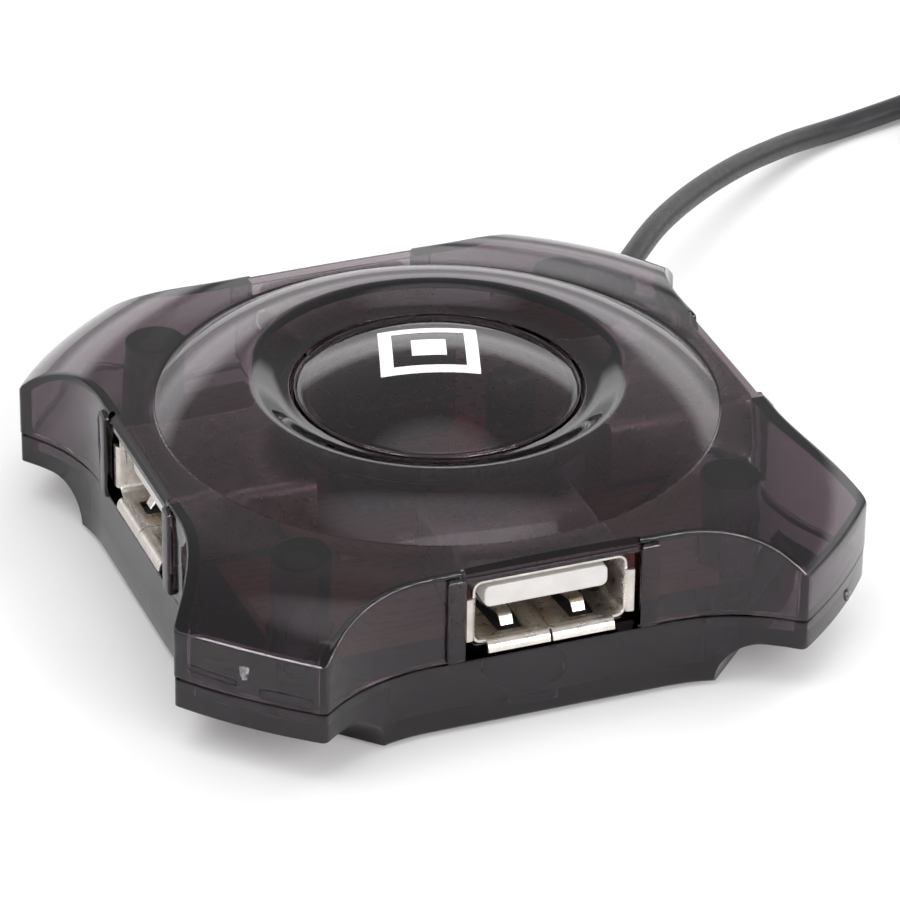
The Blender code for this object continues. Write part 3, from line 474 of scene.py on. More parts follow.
def shape_with(piece, steps, angle=28.0):
    """Cut or join closed tools in turn, then keep the result as the piece's own mesh."""
    for made, operation in steps:
        step = piece.modifiers.new(made.name, "BOOLEAN")
        step.operation = operation
        step.solver = "MANIFOLD"
        step.object = made
    bpy.context.view_layer.update()
    graph = bpy.context.evaluated_depsgraph_get()
    result = bpy.data.meshes.new_from_object(piece.evaluated_get(graph))
    finish = piece.data.materials[0]
    piece.modifiers.clear()
    piece.data = result
    result.materials.clear()
    result.materials.append(finish)
    for made, _ in steps:
        bpy.data.objects.remove(made, do_unlink=True)
    result.shade_smooth()
    result.set_sharp_from_angle(angle=math.radians(angle))


def rod(place, radius, z_low, z_high, sides=40):
    """Upright round bar as two rings."""
    angle = np.arange(sides) * 2 * math.pi / sides
    ring = np.stack([place[0] + radius * np.cos(angle), place[1] + radius * np.sin(angle)], 1)
    return grid_solid(np.array([np.column_stack([ring, np.full(sides, z)]) for z in (z_low, z_high)]))


def several(solids):
    """Points and faces of several solids as one list each."""
    points, faces, count = [], [], 0
    for p, f in solids:
        p = np.asarray(p).reshape(-1, 3)
        points.append(p)
        faces += [[i + count for i in face] for face in f]
        count += len(p)
    return np.concatenate(points), faces


def smoke(name, roughness, colour, density, waves):
    """Translucent moulded plastic: clear glass skin over a grey-brown absorbing body, with faint
    waviness. Lamps reach through it by a clear shader for shadow rays, and the body tints them."""
    finish, tree, shader, out = new_finish(name)
    shader.inputs["Base Color"].default_value = (1.0, 1.0, 1.0, 1.0)
    shader.inputs["Transmission Weight"].default_value = 1.0
    shader.inputs["IOR"].default_value = 1.5
    shader.inputs["Specular Tint"].default_value = (1.0, 0.94, 0.985, 1.0)
    tree.links.new(mottle(tree, 350.0, *roughness), shader.inputs["Roughness"])
    if waves:
        relief(tree, shader, mottle(tree, 160.0, 0.0, 1.0, 1.0), waves, 0.0004)
    clear = put(tree, "ShaderNodeBsdfTransparent")
    path = put(tree, "ShaderNodeLightPath")
    mix = put(tree, "ShaderNodeMixShader")
    tree.links.new(path.outputs["Is Shadow Ray"], mix.inputs["Fac"])
    tree.links.new(shader.outputs["BSDF"], mix.inputs[1])
    tree.links.new(clear.outputs["BSDF"], mix.inputs[2])
    tree.links.new(mix.outputs["Shader"], out.inputs["Surface"])
    body = put(tree, "ShaderNodeVolumeAbsorption", Color=(*colour, 1.0), Density=density)
    tree.links.new(body.outputs["Volume"], out.inputs["Volume"])
    return finish


smoke_finish = smoke("smoke_abs", (0.02, 0.045), (0.335, 0.225, 0.285), 1520.0, 0.02)
ring = ring_back()
JOIN = 24.0
inward = [
    (10.9, 13.9), (10.9, 14.7), (12.05, 14.7), (12.05, 16.35), (13.0, 16.47), (14.1, 17.0), CREST,
]
foot_crease = [(22.99, 14.87), (23.17, 14.94), (JOIN, 14.9)]
top_line = eased(
    np.concatenate([inward, ring[2:], foot_crease, pillow_back()]),
    [0, 0.1, 0.1, 0.12, 0.9, 0.8, 0.75] + [0] * (len(ring) - 2) + [0.05, 0.08] + [0] * 40, 6,
)
roof_line = np.concatenate([
    [(10.9, 13.9), (13.45, 13.9)], ring_back(ROOF, 10), [(JOIN, 13.75)], pillow_back(ROOF, 16)
])
EDGE = 0.22
loop = shell_loop(JOIN, top_line, roof_line, EDGE, SEAM + GROOVE, WALL)
upper_shell = piece_of(
    "case_upper", loop * MM, grid_faces(*loop.shape[:2], True, True), smoke_finish
)
PROUD, PORT_HALF, PORT_TOP = 0.45, 7.35, 13.6
pilaster = block(
    (PORT_HALF, -SIDE - PROUD, SEAM + GROOVE + 0.02), (8.95, -SIDE + 0.6, 14.3), 0.22, 0.4
)
twin = pilaster * np.array((-1.0, 1.0, 1.0))
pilasters = several([grid_solid(pilaster), grid_solid(twin)])
way = grid_solid(np.array([
    [(-PORT_HALF, y, 5.0), (PORT_HALF, y, 5.0), (PORT_HALF, y, PORT_TOP), (-PORT_HALF, y, PORT_TOP)]
    for y in (-SIDE - 1.4, -SIDE + WALL + 0.8)
]))
LINTEL_LOW, LINTEL_HIGH, LINTEL_DEPTH = 14.05, 15.3, 0.85
fall = (LINTEL_HIGH - LINTEL_LOW) / LINTEL_DEPTH
slope = grid_solid(np.array([
    [(x, -SIDE - 0.6, LINTEL_LOW - 0.6 * fall), (x, -SIDE - 0.6, LINTEL_HIGH),
     (x, -SIDE + LINTEL_DEPTH, LINTEL_HIGH)]
    for x in (-PORT_HALF, PORT_HALF)
]))
SCREWS_OUT = 18.2
DIAGONALS = [np.array((sx, sy), float) for sx, sy in ((-1, -1), (1, -1), (1, 1), (-1, 1))]
posts = several([rod(SCREWS_OUT * d, 2.4, SEAM + GROOVE, 14.1, 48) for d in DIAGONALS])
bores = several([rod(SCREWS_OUT * d, 1.3, 5.0, 12.6, 32) for d in DIAGONALS])


def diagonal_rod(radius, u_low, u_high, z, sides=40):
    """Round bar along the lead's diagonal, between two distances from the middle."""
    angle = np.arange(sides) * 2 * math.pi / sides
    rings = []
    for u in (u_low, u_high):
        side = radius * np.cos(angle)
        rings.append(np.stack([
            (u + side) / math.sqrt(2), (u - side) / math.sqrt(2), z + radius * np.sin(angle)
        ], 1))
    return grid_solid(np.array(rings))


exit_hole = diagonal_rod(1.85, 30.0, 40.0, 7.5)


def face_frame(t, u, z, facing):
    """Points given along a blunt corner's face, out from it and up, put on the (x, y) corner."""
    sx, sy = facing
    x = (-sy * t + sx * u) / math.sqrt(2)
    y = (sx * t + sy * u) / math.sqrt(2)
    return np.stack([x, y, z], -1)


def face_distance(t):
    """Distance of a blunt corner's face from the middle: the ear arc at that place along it."""
    return EAR - EAR_RADIUS + np.sqrt(EAR_RADIUS**2 - t**2)


def oblong_groove(middle, height, length, width, tilt, radius):
    """Round bar bent into an oblong on the corner's face: a stadium path, a circle round it."""
    turn = np.linspace(0.0, 2 * math.pi, 49)[:-1]
    straight = (length - width) / 2
    along = np.cos(turn) * width / 2 + np.sign(np.cos(turn)) * straight
    up = np.sin(turn) * width / 2
    t = middle + along * math.cos(tilt) - up * math.sin(tilt)
    z = height + along * math.sin(tilt) + up * math.cos(tilt)
    around = np.linspace(0.0, 2 * math.pi, 9)[:-1]
    out = np.stack([np.cos(turn), np.sin(turn)], 1)
    rows = []
    for a in around:
        t2 = t + radius * math.cos(a) * out[:, 0]
        z2 = z + radius * math.cos(a) * out[:, 1]
        rows.append(face_frame(t2, face_distance(t2) + radius * math.sin(a), z2, (-1, -1)))
    rows = np.array(rows)
    return rows.reshape(-1, 3), grid_faces(*rows.shape[:2], True, True).tolist()


grooves = several([
    oblong_groove(-3.0, 7.95, 4.3, 0.5, -0.05, 0.08),
    oblong_groove(3.4, 7.5, 4.5, 0.85, -0.02, 0.09),
])
shape_with(upper_shell, [
    (tool("pilasters", *four_round(*pilasters)), "UNION"),
    (tool("posts", *posts), "UNION"),
    (tool("bores", *bores), "DIFFERENCE"),
    (tool("ways", *four_round(*way)), "DIFFERENCE"),
    (tool("slopes", *four_round(*slope)), "DIFFERENCE"),
    (tool("exit", *exit_hole), "DIFFERENCE"),
    (tool("grooves", *grooves), "DIFFERENCE"),
])
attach(upper_shell, "root")
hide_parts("upper_shell")


# Gate vestiges: the torn stubs of plastic where the moulding's runners were snapped off two of the
# blunt corners, glassy with a few white fibres.
torn, _, _ = coat(
    "torn_plastic", 2600.0, (0.03, 0.027, 0.03), (0.34, 0.32, 0.33),
    (3200.0, 0.08, 0.28), (3000.0, 0.6, 0.0002),
)


def torn_stub(name, t, z, facing, size):
    """Low lump: rings that shrink with height, their radius waved by two sines of the angle."""
    around = np.linspace(0.0, 2 * math.pi, 33)[:-1]
    rings = []
    for share, rise in ((1.0, -0.05), (0.95, 0.06), (0.72, 0.16), (0.42, 0.2), (0.12, 0.13)):
        wave = 1 + 0.16 * np.sin(3 * around + 4 * rise) + 0.1 * np.sin(7 * around + 9 * share)
        t2 = t + size * share * wave * np.cos(around)
        z2 = z + 1.5 * size * share * wave * np.sin(around)
        rings.append(face_frame(t2, face_distance(t2) + rise, z2, facing))
    points, faces = grid_solid(np.array(rings))
    stub = piece_of(name, points * MM, faces, torn, 60.0)
    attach(stub, "root")


torn_stub("gate_vestige_1", -0.18, 8.97, (-1, -1), 0.42)
torn_stub("gate_vestige_2", 1.58, 4.75, (1, -1), 0.34)


# Lower shell: the same smoke-grey ABS, with its coved ear undersides, floor, board standoffs and
# screw posts moulded in. Four screws from below hold it to the upper shell.
LOWER_INSET, LOWER_WALL = 0.05, 1.4


def plate_rows(levels):
    """Rings of the plan, each drawn in by its own inset at its own height."""
    return np.array([np.column_stack([plan(i), np.full(len(plan(i)), z)]) for i, z in levels])


rounding = [(LOWER_INSET + 0.4 * (1 - math.sin(a)), 0.3 + 0.4 * (1 - math.cos(a)))
            for a in np.radians((0, 22.5, 45, 67.5, 90))]
rows = plate_rows(rounding + [
    (LOWER_INSET, 3.0), (LOWER_INSET, 6.36), (LOWER_INSET + 0.08, SEAM - GROOVE),
])
points, faces = grid_solid(rows)
lower_shell = piece_of("case_lower", points * MM, faces, smoke_finish)
EAR_FLOOR = 4.97
room = grid_solid(plate_rows([(LOWER_INSET + LOWER_WALL, z) for z in (EAR_FLOOR, 8.0)]))
deep = grid_solid(plate_rows([(LOWER_INSET + LOWER_WALL, z) for z in (1.8, EAR_FLOOR + 0.01)]))
climb = np.radians(np.linspace(0.0, 90.0, 17))
cove_line = [(28.3 + 3.6 * (1 - math.cos(a)), 0.3 + 3.67 * math.sin(a)) for a in climb]
cove_line = [(28.2, -0.7)] + cove_line + [(40.0, 3.97), (40.0, -0.7)]


def corner_prism(line, half_width):
    """A line of (distance along the diagonal, height) drawn out both ways across the diagonal."""
    u, z = np.asarray(line, float).T
    rings = []
    for side in (-half_width, half_width):
        rings.append(np.stack([(u + side) / math.sqrt(2), (u - side) / math.sqrt(2), z], 1))
    return grid_solid(np.array(rings))


coves = four_round(*corner_prism(cove_line, 16.0))
keep_out = four_round(*corner_prism(
    [(26.9, 1.0), (26.9, EAR_FLOOR), (45.0, EAR_FLOOR), (45.0, 1.0)], 30.0
))
FEET_OUT = 19.2
feet_at = [FEET_OUT * np.array(p, float) for p in ((0, -1), (1, 0), (0, 1), (-1, 0))]
deep_tool = piece_of("deep", deep[0] * MM, deep[1], smoke_finish)
shape_with(deep_tool, [(tool("keep_out", *keep_out), "DIFFERENCE")])
lower_posts = several([rod(SCREWS_OUT * d, 2.5, 0.9, 6.4, 48) for d in DIAGONALS])
stands = several([rod(11.5 * d, 1.5, 1.3, 5.74, 24) for d in DIAGONALS])
lower_ways = several([rod(SCREWS_OUT * d, 1.3, -1.0, 8.0, 32) for d in DIAGONALS])
sinks = several([rod(SCREWS_OUT * d, 2.05, -1.0, 2.4, 32) for d in DIAGONALS])
recesses = several([rod(p, 3.5, -1.0, 1.2, 48) for p in feet_at])
shape_with(lower_shell, [
    (tool("coves", *coves), "DIFFERENCE"),
    (tool("room", *room), "DIFFERENCE"),
    (deep_tool, "DIFFERENCE"),
    (tool("posts", *lower_posts), "UNION"),
    (tool("stands", *stands), "UNION"),
    (tool("ways", *lower_ways), "DIFFERENCE"),
    (tool("sinks", *sinks), "DIFFERENCE"),
    (tool("recess", *recesses), "DIFFERENCE"),
    (tool("exit", *exit_hole), "DIFFERENCE"),
])
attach(lower_shell, "root")
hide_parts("lower_shell")


# Lens: clear smoke-tinted acrylic dome, 1.4 mm thick, dropped into the ring onto its ledge. Its
# underside has rows of small moulded dimples that spread the light of the lamp below.
LENS_R, LENS_RIM, LENS_RISE, LENS_WALL = 11.75, 16.35, 2.8, 1.4
BALL = (LENS_R**2 + LENS_RISE**2) / (2 * LENS_RISE)
BALL_Z = LENS_RIM + LENS_RISE - BALL


def dome_height(x, y, ball=BALL):
    """Height of a ball of that radius about the lens's centre of curvature."""
    return BALL_Z + np.sqrt(ball**2 - x**2 - y**2)


def disc_grid(radius, steps):
    """Square grid pressed onto a disc: each square ring of the grid becomes a circle."""
    side = np.linspace(-1.0, 1.0, steps)
    a, b = np.meshgrid(side, side, indexing="ij")
    x, y = a * np.sqrt(1 - b**2 / 2), b * np.sqrt(1 - a**2 / 2)
    return radius * x, radius * y


def dimples(x, y, pitch, radius, depth):
    """Depth of round dimples on a diamond lattice: a cosine dip inside each radius."""
    u, v = (x + y) / (pitch * math.sqrt(2)), (x - y) / (pitch * math.sqrt(2))
    away = np.hypot(u - np.round(u), v - np.round(v)) * pitch
    return depth * 0.5 * (1 + np.cos(math.pi * np.clip(away / radius, 0.0, 1.0)))


def boundary(steps):
    """Indices of the rim of a square grid, once round."""
    index = np.arange(steps * steps).reshape(steps, steps)
    return np.concatenate([index[:-1, 0], index[-1, :-1], index[:0:-1, -1], index[0, :0:-1]])


steps, UNDER_R = 205, 10.4
x, y = disc_grid(UNDER_R, steps)
skew = math.radians(12.0)
rx, ry = x * math.cos(skew) - y * math.sin(skew), x * math.sin(skew) + y * math.cos(skew)
inner_z = dome_height(x, y, BALL - LENS_WALL)
inside = np.clip((9.9 - np.hypot(x, y)) / 0.3, 0.0, 1.0)
inner_z = inner_z + inside * dimples(rx, ry, 1.35, 0.27, 0.13)
under = np.stack([x, y, inner_z], 2).reshape(-1, 3)
under_faces = grid_faces(steps, steps, False, False)[:, ::-1]
rim = boundary(steps)
rim_xy = under[rim][:, :2] / UNDER_R
turn = np.radians(np.linspace(90.0, 0.0, 6))
edge_rows = [(UNDER_R, 15.05), (UNDER_R + 0.05, 15.0), (LENS_R - 0.05, 15.0), (LENS_R, 15.05)]
edge_rows += [
    (LENS_R - 0.18 * (1 - math.sin(a)), LENS_RIM - 0.18 + 0.22 * math.cos(a)) for a in turn
]
low = math.asin((LENS_R - 0.22) / BALL)
tilts = np.linspace(low, 0.02, 26)
edge_rows += [(BALL * math.sin(t), BALL_Z + BALL * math.cos(t)) for t in tilts]
skirt = np.array([np.column_stack([rim_xy * r, np.full(len(rim), z)]) for r, z in edge_rows])
base = len(under)
points = np.concatenate([under, skirt.reshape(-1, 3)])
faces = under_faces.tolist()
first = [[int(rim[i]), int(rim[(i + 1) % len(rim)]), base + (i + 1) % len(rim), base + i]
         for i in range(len(rim))]
faces += first + (grid_faces(len(edge_rows), len(rim), False, True) + base).tolist()
faces.append((np.arange(len(rim)) + base + (len(edge_rows) - 1) * len(rim)).tolist())
lens_finish = smoke("lens_acrylic", (0.02, 0.035), (0.35, 0.24, 0.28), 1200.0, 0.0)
lens = piece_of("lens_cover", points * MM, faces, lens_finish, 40.0)
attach(lens, "root")
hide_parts("lens_dome")


# Printed mark: opaque white pad-printing ink on top of the lens, a plain square outline with a
# small square in it. Each patch is a thin curved slab that follows the dome.
ink_finish, _, _ = coat(
    "white_ink", 1200.0, (0.90, 0.90, 0.89), (0.96, 0.96, 0.95), 0.42, (3000.0, 0.1, 0.00005)
)
patches = [(-1.05, -1.05, 1.05, 1.05), (-3.0, -3.0, 3.0, -2.2), (-3.0, 2.2, 3.0, 3.0),
           (-3.0, -2.2, -2.2, 2.2), (2.2, -2.2, 3.0, 2.2)]
MARK_SIZE, MARK_AT, SPIN, PATCH = 1.35, (-0.2, 1.5), math.radians(-18.0), 8
faces, edge = grid_faces(PATCH, PATCH, False, False), boundary(PATCH)
sides = np.stack([edge, np.roll(edge, -1), np.roll(edge, -1) + PATCH**2, edge + PATCH**2], 1)
slab_faces = faces[:, ::-1].tolist() + (faces + PATCH**2).tolist() + sides.tolist()
solids = []
for x0, y0, x1, y1 in patches:
    a, b = np.meshgrid(np.linspace(x0, x1, PATCH), np.linspace(y0, y1, PATCH), indexing="ij")
    x = MARK_SIZE * (a * math.cos(SPIN) - b * math.sin(SPIN)) + MARK_AT[0]
    y = MARK_SIZE * (a * math.sin(SPIN) + b * math.cos(SPIN)) + MARK_AT[1]
    sheets = [np.stack([x, y, dome_height(x, y) + lift], 2).reshape(-1, 3) for lift in (0.005, 0.03)]
    solids.append((np.concatenate(sheets), slab_faces))
points, faces = several(solids)
mark = piece_of("printed_mark", points * MM, faces, ink_finish)
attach(mark, "root")


# Four receptacles: each a drawn and folded nickel-plated steel shell with flared lips, two leaf
# springs let into its floor, a white moulded tongue with four gold-flashed contacts under it, and
# a thin black sheet on the board under it: painted shade, standing in for the receptacle's shadow.
FRONT, SOCKET_Z, SOCKET_W, SOCKET_H = -25.16, 10.4, 13.1, 5.72
nickel, tree, shader, _ = new_finish("nickel_plate_new")
tint(tree, shader, mottle(tree, 700.0, 0.0, 1.0, 5.0), (0.46, 0.425, 0.39), (0.60, 0.565, 0.525))
shader.inputs["Metallic"].default_value = 1.0
tree.links.new(mottle(tree, 1500.0, 0.24, 0.36), shader.inputs["Roughness"])
relief(tree, shader, mottle(tree, 2500.0, 0.0, 1.0, 4.0), 0.10, 0.0001)
tongue_white, tree, shader = coat(
    "tongue_nylon", 500.0, (0.52, 0.505, 0.485), (0.59, 0.575, 0.56), 0.42
)
shader.inputs["Subsurface Weight"].default_value = 0.1
shader.inputs["Subsurface Scale"].default_value = 0.0005
relief(tree, shader, mottle(tree, 1800.0, 0.0, 1.0), 0.08, 0.0001)
# Near-black finish of the sheet under each receptacle: painted shade for the board in its shadow.
shade_sheet_black, _, _ = coat("shade_sheet_black", 900.0, (0.010, 0.010, 0.011), (0.02, 0.02, 0.021), 0.5)
contact_gold, _, _ = coat(
    "contact_gold", 900.0, (0.83, 0.60, 0.26), (0.93, 0.72, 0.38), 0.25, metal=1.0
)


def strip(line, widths, thickness, middle=0.0):
    """Bent sheet strip: a line of (y, z), thickened to each side along its normals and drawn out in
    x by half of each width, its long edges bevelled and its ends closed."""
    line = np.asarray(line, float)
    run = np.gradient(line, axis=0)
    run /= np.linalg.norm(run, axis=1)[:, None]
    normal = np.stack([-run[:, 1], run[:, 0]], 1) * thickness / 2
    half = np.broadcast_to(np.asarray(widths, float) / 2, len(line))
    rings = []
    for k in range(len(line)):
        inner, outer = line[k] - normal[k], line[k] + normal[k]
        bevel = min(0.04, half[k] * 0.3)
        side, flat = half[k], half[k] - bevel
        xs = np.array((-flat, flat, side, side, flat, -flat, -side, -side))
        share = np.array((0.0, 0.0, 0.2, 0.8, 1.0, 1.0, 0.8, 0.2))[:, None]
        yz = inner * (1 - share) + outer * share
        rings.append(np.column_stack([xs + middle, yz]))
    return grid_solid(np.array(rings))


def lying(points, faces):
    """The same solid with its last two axes swapped, so that what stood up points along y."""
    points = np.asarray(points).reshape(-1, 3)
    return points[:, (0, 2, 1)], faces


def quarter_bend(start, turn_centre, sweep, steps=6):
    """Points of a line's bend: start turned about a centre through a sweep in degrees."""
    a = np.radians(np.linspace(0.0, sweep, steps + 1))
    d = np.asarray(start, float) - turn_centre
    return np.stack([
        turn_centre[0] + d[0] * np.cos(a) - d[1] * np.sin(a),
        turn_centre[1] + d[0] * np.sin(a) + d[1] * np.cos(a),
    ], 1)


def socket_shell():
    """Folded shell: round-cornered rectangles carried along the depth, outer skin back from the
    mouth and inner skin forward again, with the back closed."""
    sheet, corner = 0.3, 0.9
    rear = FRONT + 12.56
    rings = []
    for inset, y in ((sheet, rear - sheet), (sheet, FRONT + 0.1), (sheet - 0.05, FRONT + 0.02),
                     (sheet / 2, FRONT), (0.05, FRONT + 0.02), (0.0, FRONT + 0.1), (0.0, rear)):
        ring = rounded_ring(SOCKET_W - 2 * inset, SOCKET_H - 2 * inset, corner - inset, 6)
        rings.append(np.column_stack([ring[:, 0], np.full(len(ring), y), ring[:, 1] + SOCKET_Z]))
    return grid_solid(np.array(rings))


floor_z = SOCKET_Z - SOCKET_H / 2
lip_line = np.concatenate([
    [(FRONT + 0.6, floor_z + 0.15)],
    quarter_bend((FRONT + 0.12, floor_z + 0.15), (FRONT + 0.12, floor_z - 0.45), 84.0),
    [(FRONT - 0.52, floor_z - 0.62)],
])
side_line = np.concatenate([
    [(FRONT + 0.6, SOCKET_W / 2 - 0.15)],
    quarter_bend((FRONT + 0.25, SOCKET_W / 2 - 0.15), (FRONT + 0.25, SOCKET_W / 2 + 0.2), -80.0),
    [(FRONT - 0.1, SOCKET_W / 2 + 0.52)],
])
spring_line = np.concatenate([
    np.array([(-18.6, floor_z + 0.15), (-19.6, floor_z + 0.25), (-20.8, floor_z + 0.62),
              (-22.0, floor_z + 0.98), (-22.8, floor_z + 1.12)]),
    quarter_bend((-22.95, floor_z + 1.13), (-22.95, floor_z + 0.63), 62.0),
    [(-23.75, floor_z + 0.35)],
])
spring_width = np.interp(spring_line[:, 0], [-23.9, -22.6, -18.6], [1.05, 1.25, 1.8])
lips = [strip(lip_line, 5.3, 0.3, -2.72), strip(lip_line, 5.3, 0.3, 2.72)]
for side in (-1, 1):
    p, f = strip(side_line, 3.9, 0.3)
    p = p.reshape(-1, 3)
    lips.append((np.column_stack([side * p[:, 2], p[:, 1], p[:, 0] + SOCKET_Z - 0.45]), f))
SPRINGS_AT = (-3.05, 3.05)
springs = [strip(spring_line, spring_width, 0.22, x) for x in SPRINGS_AT]
window = ((-0.95, FRONT + 0.85), (1.1, FRONT + 0.85), (1.45, FRONT + 7.4), (-1.45, FRONT + 7.4))
windows = [
    grid_solid(np.array([[(x + a, y, z) for a, y in window] for z in (floor_z - 0.3, floor_z + 0.45)]))
    for x in SPRINGS_AT
]
slit = grid_solid(np.array([
    [(-0.05, FRONT + 0.02, z), (0.05, FRONT + 0.02, z), (0.03, FRONT + 8.0, z), (-0.03, FRONT + 8.0, z)]
    for z in (floor_z + 0.24, floor_z + 0.45)
]))
rear = FRONT + 12.56
heel = block((-6.0, floor_z + 0.6, rear - 3.2), (6.0, floor_z + SOCKET_H - 0.6, rear - 0.5), 0.5, 0.1)
tongue = block((-5.2, 10.22, FRONT + 0.8), (5.2, 12.1, rear - 2.8), 0.55, 0.12)
leaf = [(FRONT + 1.4, 10.28), (FRONT + 1.7, 10.17), (FRONT + 5.0, 10.17), (FRONT + 9.0, 10.17)]
contacts = [strip(leaf, 1.0, 0.1, x) for x in (-3.5, -1.0, 1.0, 3.5)]
# Thin black sheet on the board under each receptacle: painted shade where the board lies in shadow.
shade_sheet_block = block((-6.3, FRONT + 0.2, 7.27), (6.3, rear - 0.1, 7.4), 0.3, 0.03)
PORTS = ("front", "right", "back", "left")
for k, side in enumerate(PORTS):
    c, s = round(math.cos(k * math.pi / 2)), round(math.sin(k * math.pi / 2))
    facing = np.array(((c, s, 0), (-s, c, 0), (0, 0, 1)), float) * MM

    def fitted(name, solids, finish, angle=35.0):
        """One piece of this port, turned to its side of the body."""
        p, f = several(solids)
        return piece_of(f"{name}_{side}", p @ facing, f, finish, angle)

    shell = fitted("receptacle", [socket_shell()], nickel)
    p, f = several(windows + [slit])
    shape_with(shell, [(tool("cut", p @ facing / MM, f), "DIFFERENCE")], 35.0)
    extras = [fitted("receptacle_lips", lips, nickel), fitted("leaf_springs", springs, nickel)]
    insulator = fitted("tongue", [lying(*grid_solid(heel)), lying(*grid_solid(tongue))], tongue_white)
    gold = fitted("contacts", contacts, contact_gold)
    for made in (shell, *extras, insulator, gold):
        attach(made, "root")
    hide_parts(f"usb_shell_{side}")
    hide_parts(f"usb_insulator_{side}")
    # The painted-shade sheet under this receptacle.
    pad = fitted("socket_shade_sheet", [grid_solid(shade_sheet_block)], shade_sheet_black)
    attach(pad, "root")


# Board: brick-red solder mask over copper on glass laminate, 1.2 mm thick, with the tracks showing
# as faint ridges. It rests on four standoffs, notched round the screw posts.
board_finish, tree, shader, _ = new_finish("board_mask")
place = put(tree, "ShaderNodeTexCoord")
tracks = put(tree, "ShaderNodeTexBrick", Scale=260.0)
tracks.inputs["Color1"].default_value = (0.0, 0.0, 0.0, 1.0)
tracks.inputs["Color2"].default_value = (0.25, 0.25, 0.25, 1.0)
tracks.inputs["Mortar"].default_value = (1.0, 1.0, 1.0, 1.0)
tracks.inputs["Mortar Size"].default_value = 0.09
tree.links.new(place.outputs["Object"], tracks.inputs["Vector"])
tint(tree, shader, tracks.outputs["Color"], (0.115, 0.032, 0.026), (0.18, 0.066, 0.048))
tree.links.new(mottle(tree, 600.0, 0.3, 0.45), shader.inputs["Roughness"])
relief(tree, shader, tracks.outputs["Color"], 0.3, 0.0001)
nodes["circuit_board"].data.materials[0] = board_finish

# Board parts: a moulded controller chip with tinned gull-wing legs, a steel crystal can, two
# aluminium electrolytic capacitors, four ceramic chips with tinned ends and a red lamp.
BOARD_TOP = 7.24
moulding, _, _ = coat(
    "chip_epoxy", 2200.0, (0.015, 0.015, 0.017), (0.035, 0.035, 0.037),
    (3000.0, 0.45, 0.65), (5000.0, 0.2, 0.0001),
)
tinned, _, _ = coat(
    "tinned_metal", 1500.0, (0.11, 0.107, 0.107), (0.17, 0.167, 0.167),
    (2600.0, 0.42, 0.6), metal=1.0,
)
points, faces = grid_solid(
    block((-8.2, -3.0, BOARD_TOP + 0.35), (-1.8, 3.0, BOARD_TOP + 1.65), 0.15, 0.1)
)
chip = piece_of("controller_body", points * MM, faces, moulding)
leg_line = [
    (-3.0, BOARD_TOP + 0.9), (-3.25, BOARD_TOP + 0.88), (-3.4, BOARD_TOP + 0.7),
    (-3.5, BOARD_TOP + 0.42), (-3.62, BOARD_TOP + 0.36), (-3.95, BOARD_TOP + 0.35),
]
legs = []
for x in np.linspace(-7.4, -2.6, 5):
    p, f = strip(leg_line, 0.42, 0.14, x)
    legs += [(p, f), (p.reshape(-1, 3) * np.array((1, -1, 1)), f)]
points, faces = several(legs)
chip_legs = piece_of("controller_legs", points * MM, faces, tinned)
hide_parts("hub_controller_chip")


def turned(line, place=(0.0, 0.0), sides=48):
    """Solid of revolution: a line of (radius, height) carried round an upright axis."""
    r, z = np.asarray(line, float).T
    angle = np.arange(sides) * 2 * math.pi / sides
    x = place[0] + r[:, None] * np.cos(angle)
    y = place[1] + r[:, None] * np.sin(angle)
    return grid_solid(np.stack([x, y, np.broadcast_to(z[:, None], x.shape)], 2))


points, faces = several([
    grid_solid(block((-5.6, 6.4, BOARD_TOP + 0.3), (5.2, 10.6, BOARD_TOP + 0.75), 2.05, 0.1, 8)),
    grid_solid(block((-5.15, 6.85, BOARD_TOP + 0.7), (4.75, 10.15, BOARD_TOP + 3.7), 1.6, 0.35, 8)),
])
crystal = piece_of("crystal_case", points * MM, faces, tinned)
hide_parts("crystal_can")
base = BOARD_TOP + 0.3
drum_line = [(1.0, base), (1.9, base), (2.1, base + 0.15), (2.1, base + 0.7), (1.88, base + 0.95),
             (2.1, base + 1.2), (2.1, base + 4.95), (2.0, base + 5.12), (1.75, base + 5.2),
             (1.6, base + 5.1), (0.02, base + 5.1)]
sleeve, _, _ = coat(
    "capacitor_sleeve", 800.0, (0.10, 0.10, 0.12), (0.16, 0.16, 0.19),
    0.3, (1500.0, 0.08, 0.0001), metal=0.6,
)
for i, place in enumerate(((8.6, -5.2), (8.6, 5.4)), 1):
    points, faces = turned(drum_line, place)
    drum = piece_of(f"capacitor_{i}", points * MM, faces, sleeve)
    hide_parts(f"smoothing_capacitor_{i}")
    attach(drum, "root")
ceramic, _, _ = coat(
    "ceramic_body", 2500.0, (0.38, 0.27, 0.17), (0.52, 0.39, 0.26), (3000.0, 0.4, 0.6)
)
for i, (x, y) in enumerate(((-10.8, -8.6), (-6.0, -9.2), (-1.2, -9.2), (4.0, -9.2)), 1):
    low, high = (x - 0.75, y - 0.57, base + 0.03), (x + 0.75, y + 0.57, base + 0.77)
    points, faces = grid_solid(block(low, high, 0.06, 0.05))
    body = piece_of(f"ceramic_body_{i}", points * MM, faces, ceramic)
    points, faces = several([
        grid_solid(block((x + a, y - 0.6, base), (x + b, y + 0.6, base + 0.8), 0.08, 0.06))
        for a, b in ((-1.0, -0.7), (0.7, 1.0))
    ])
    caps = piece_of(f"ceramic_ends_{i}", points * MM, faces, tinned)
    for made in (body, caps):
        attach(made, "root")
    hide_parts(f"ceramic_capacitor_{i}")
for made in (chip, chip_legs, crystal):
    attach(made, "root")
lamp_finish, _, shader = coat(
    "lamp_epoxy", 900.0, (0.10, 0.006, 0.012), (0.14, 0.009, 0.018), 0.12
)
shader.inputs["Emission Color"].default_value = (1.0, 0.03, 0.10, 1.0)
shader.inputs["Emission Strength"].default_value = 0.04
nodes["indicator_led"].data.materials[0] = lamp_finish

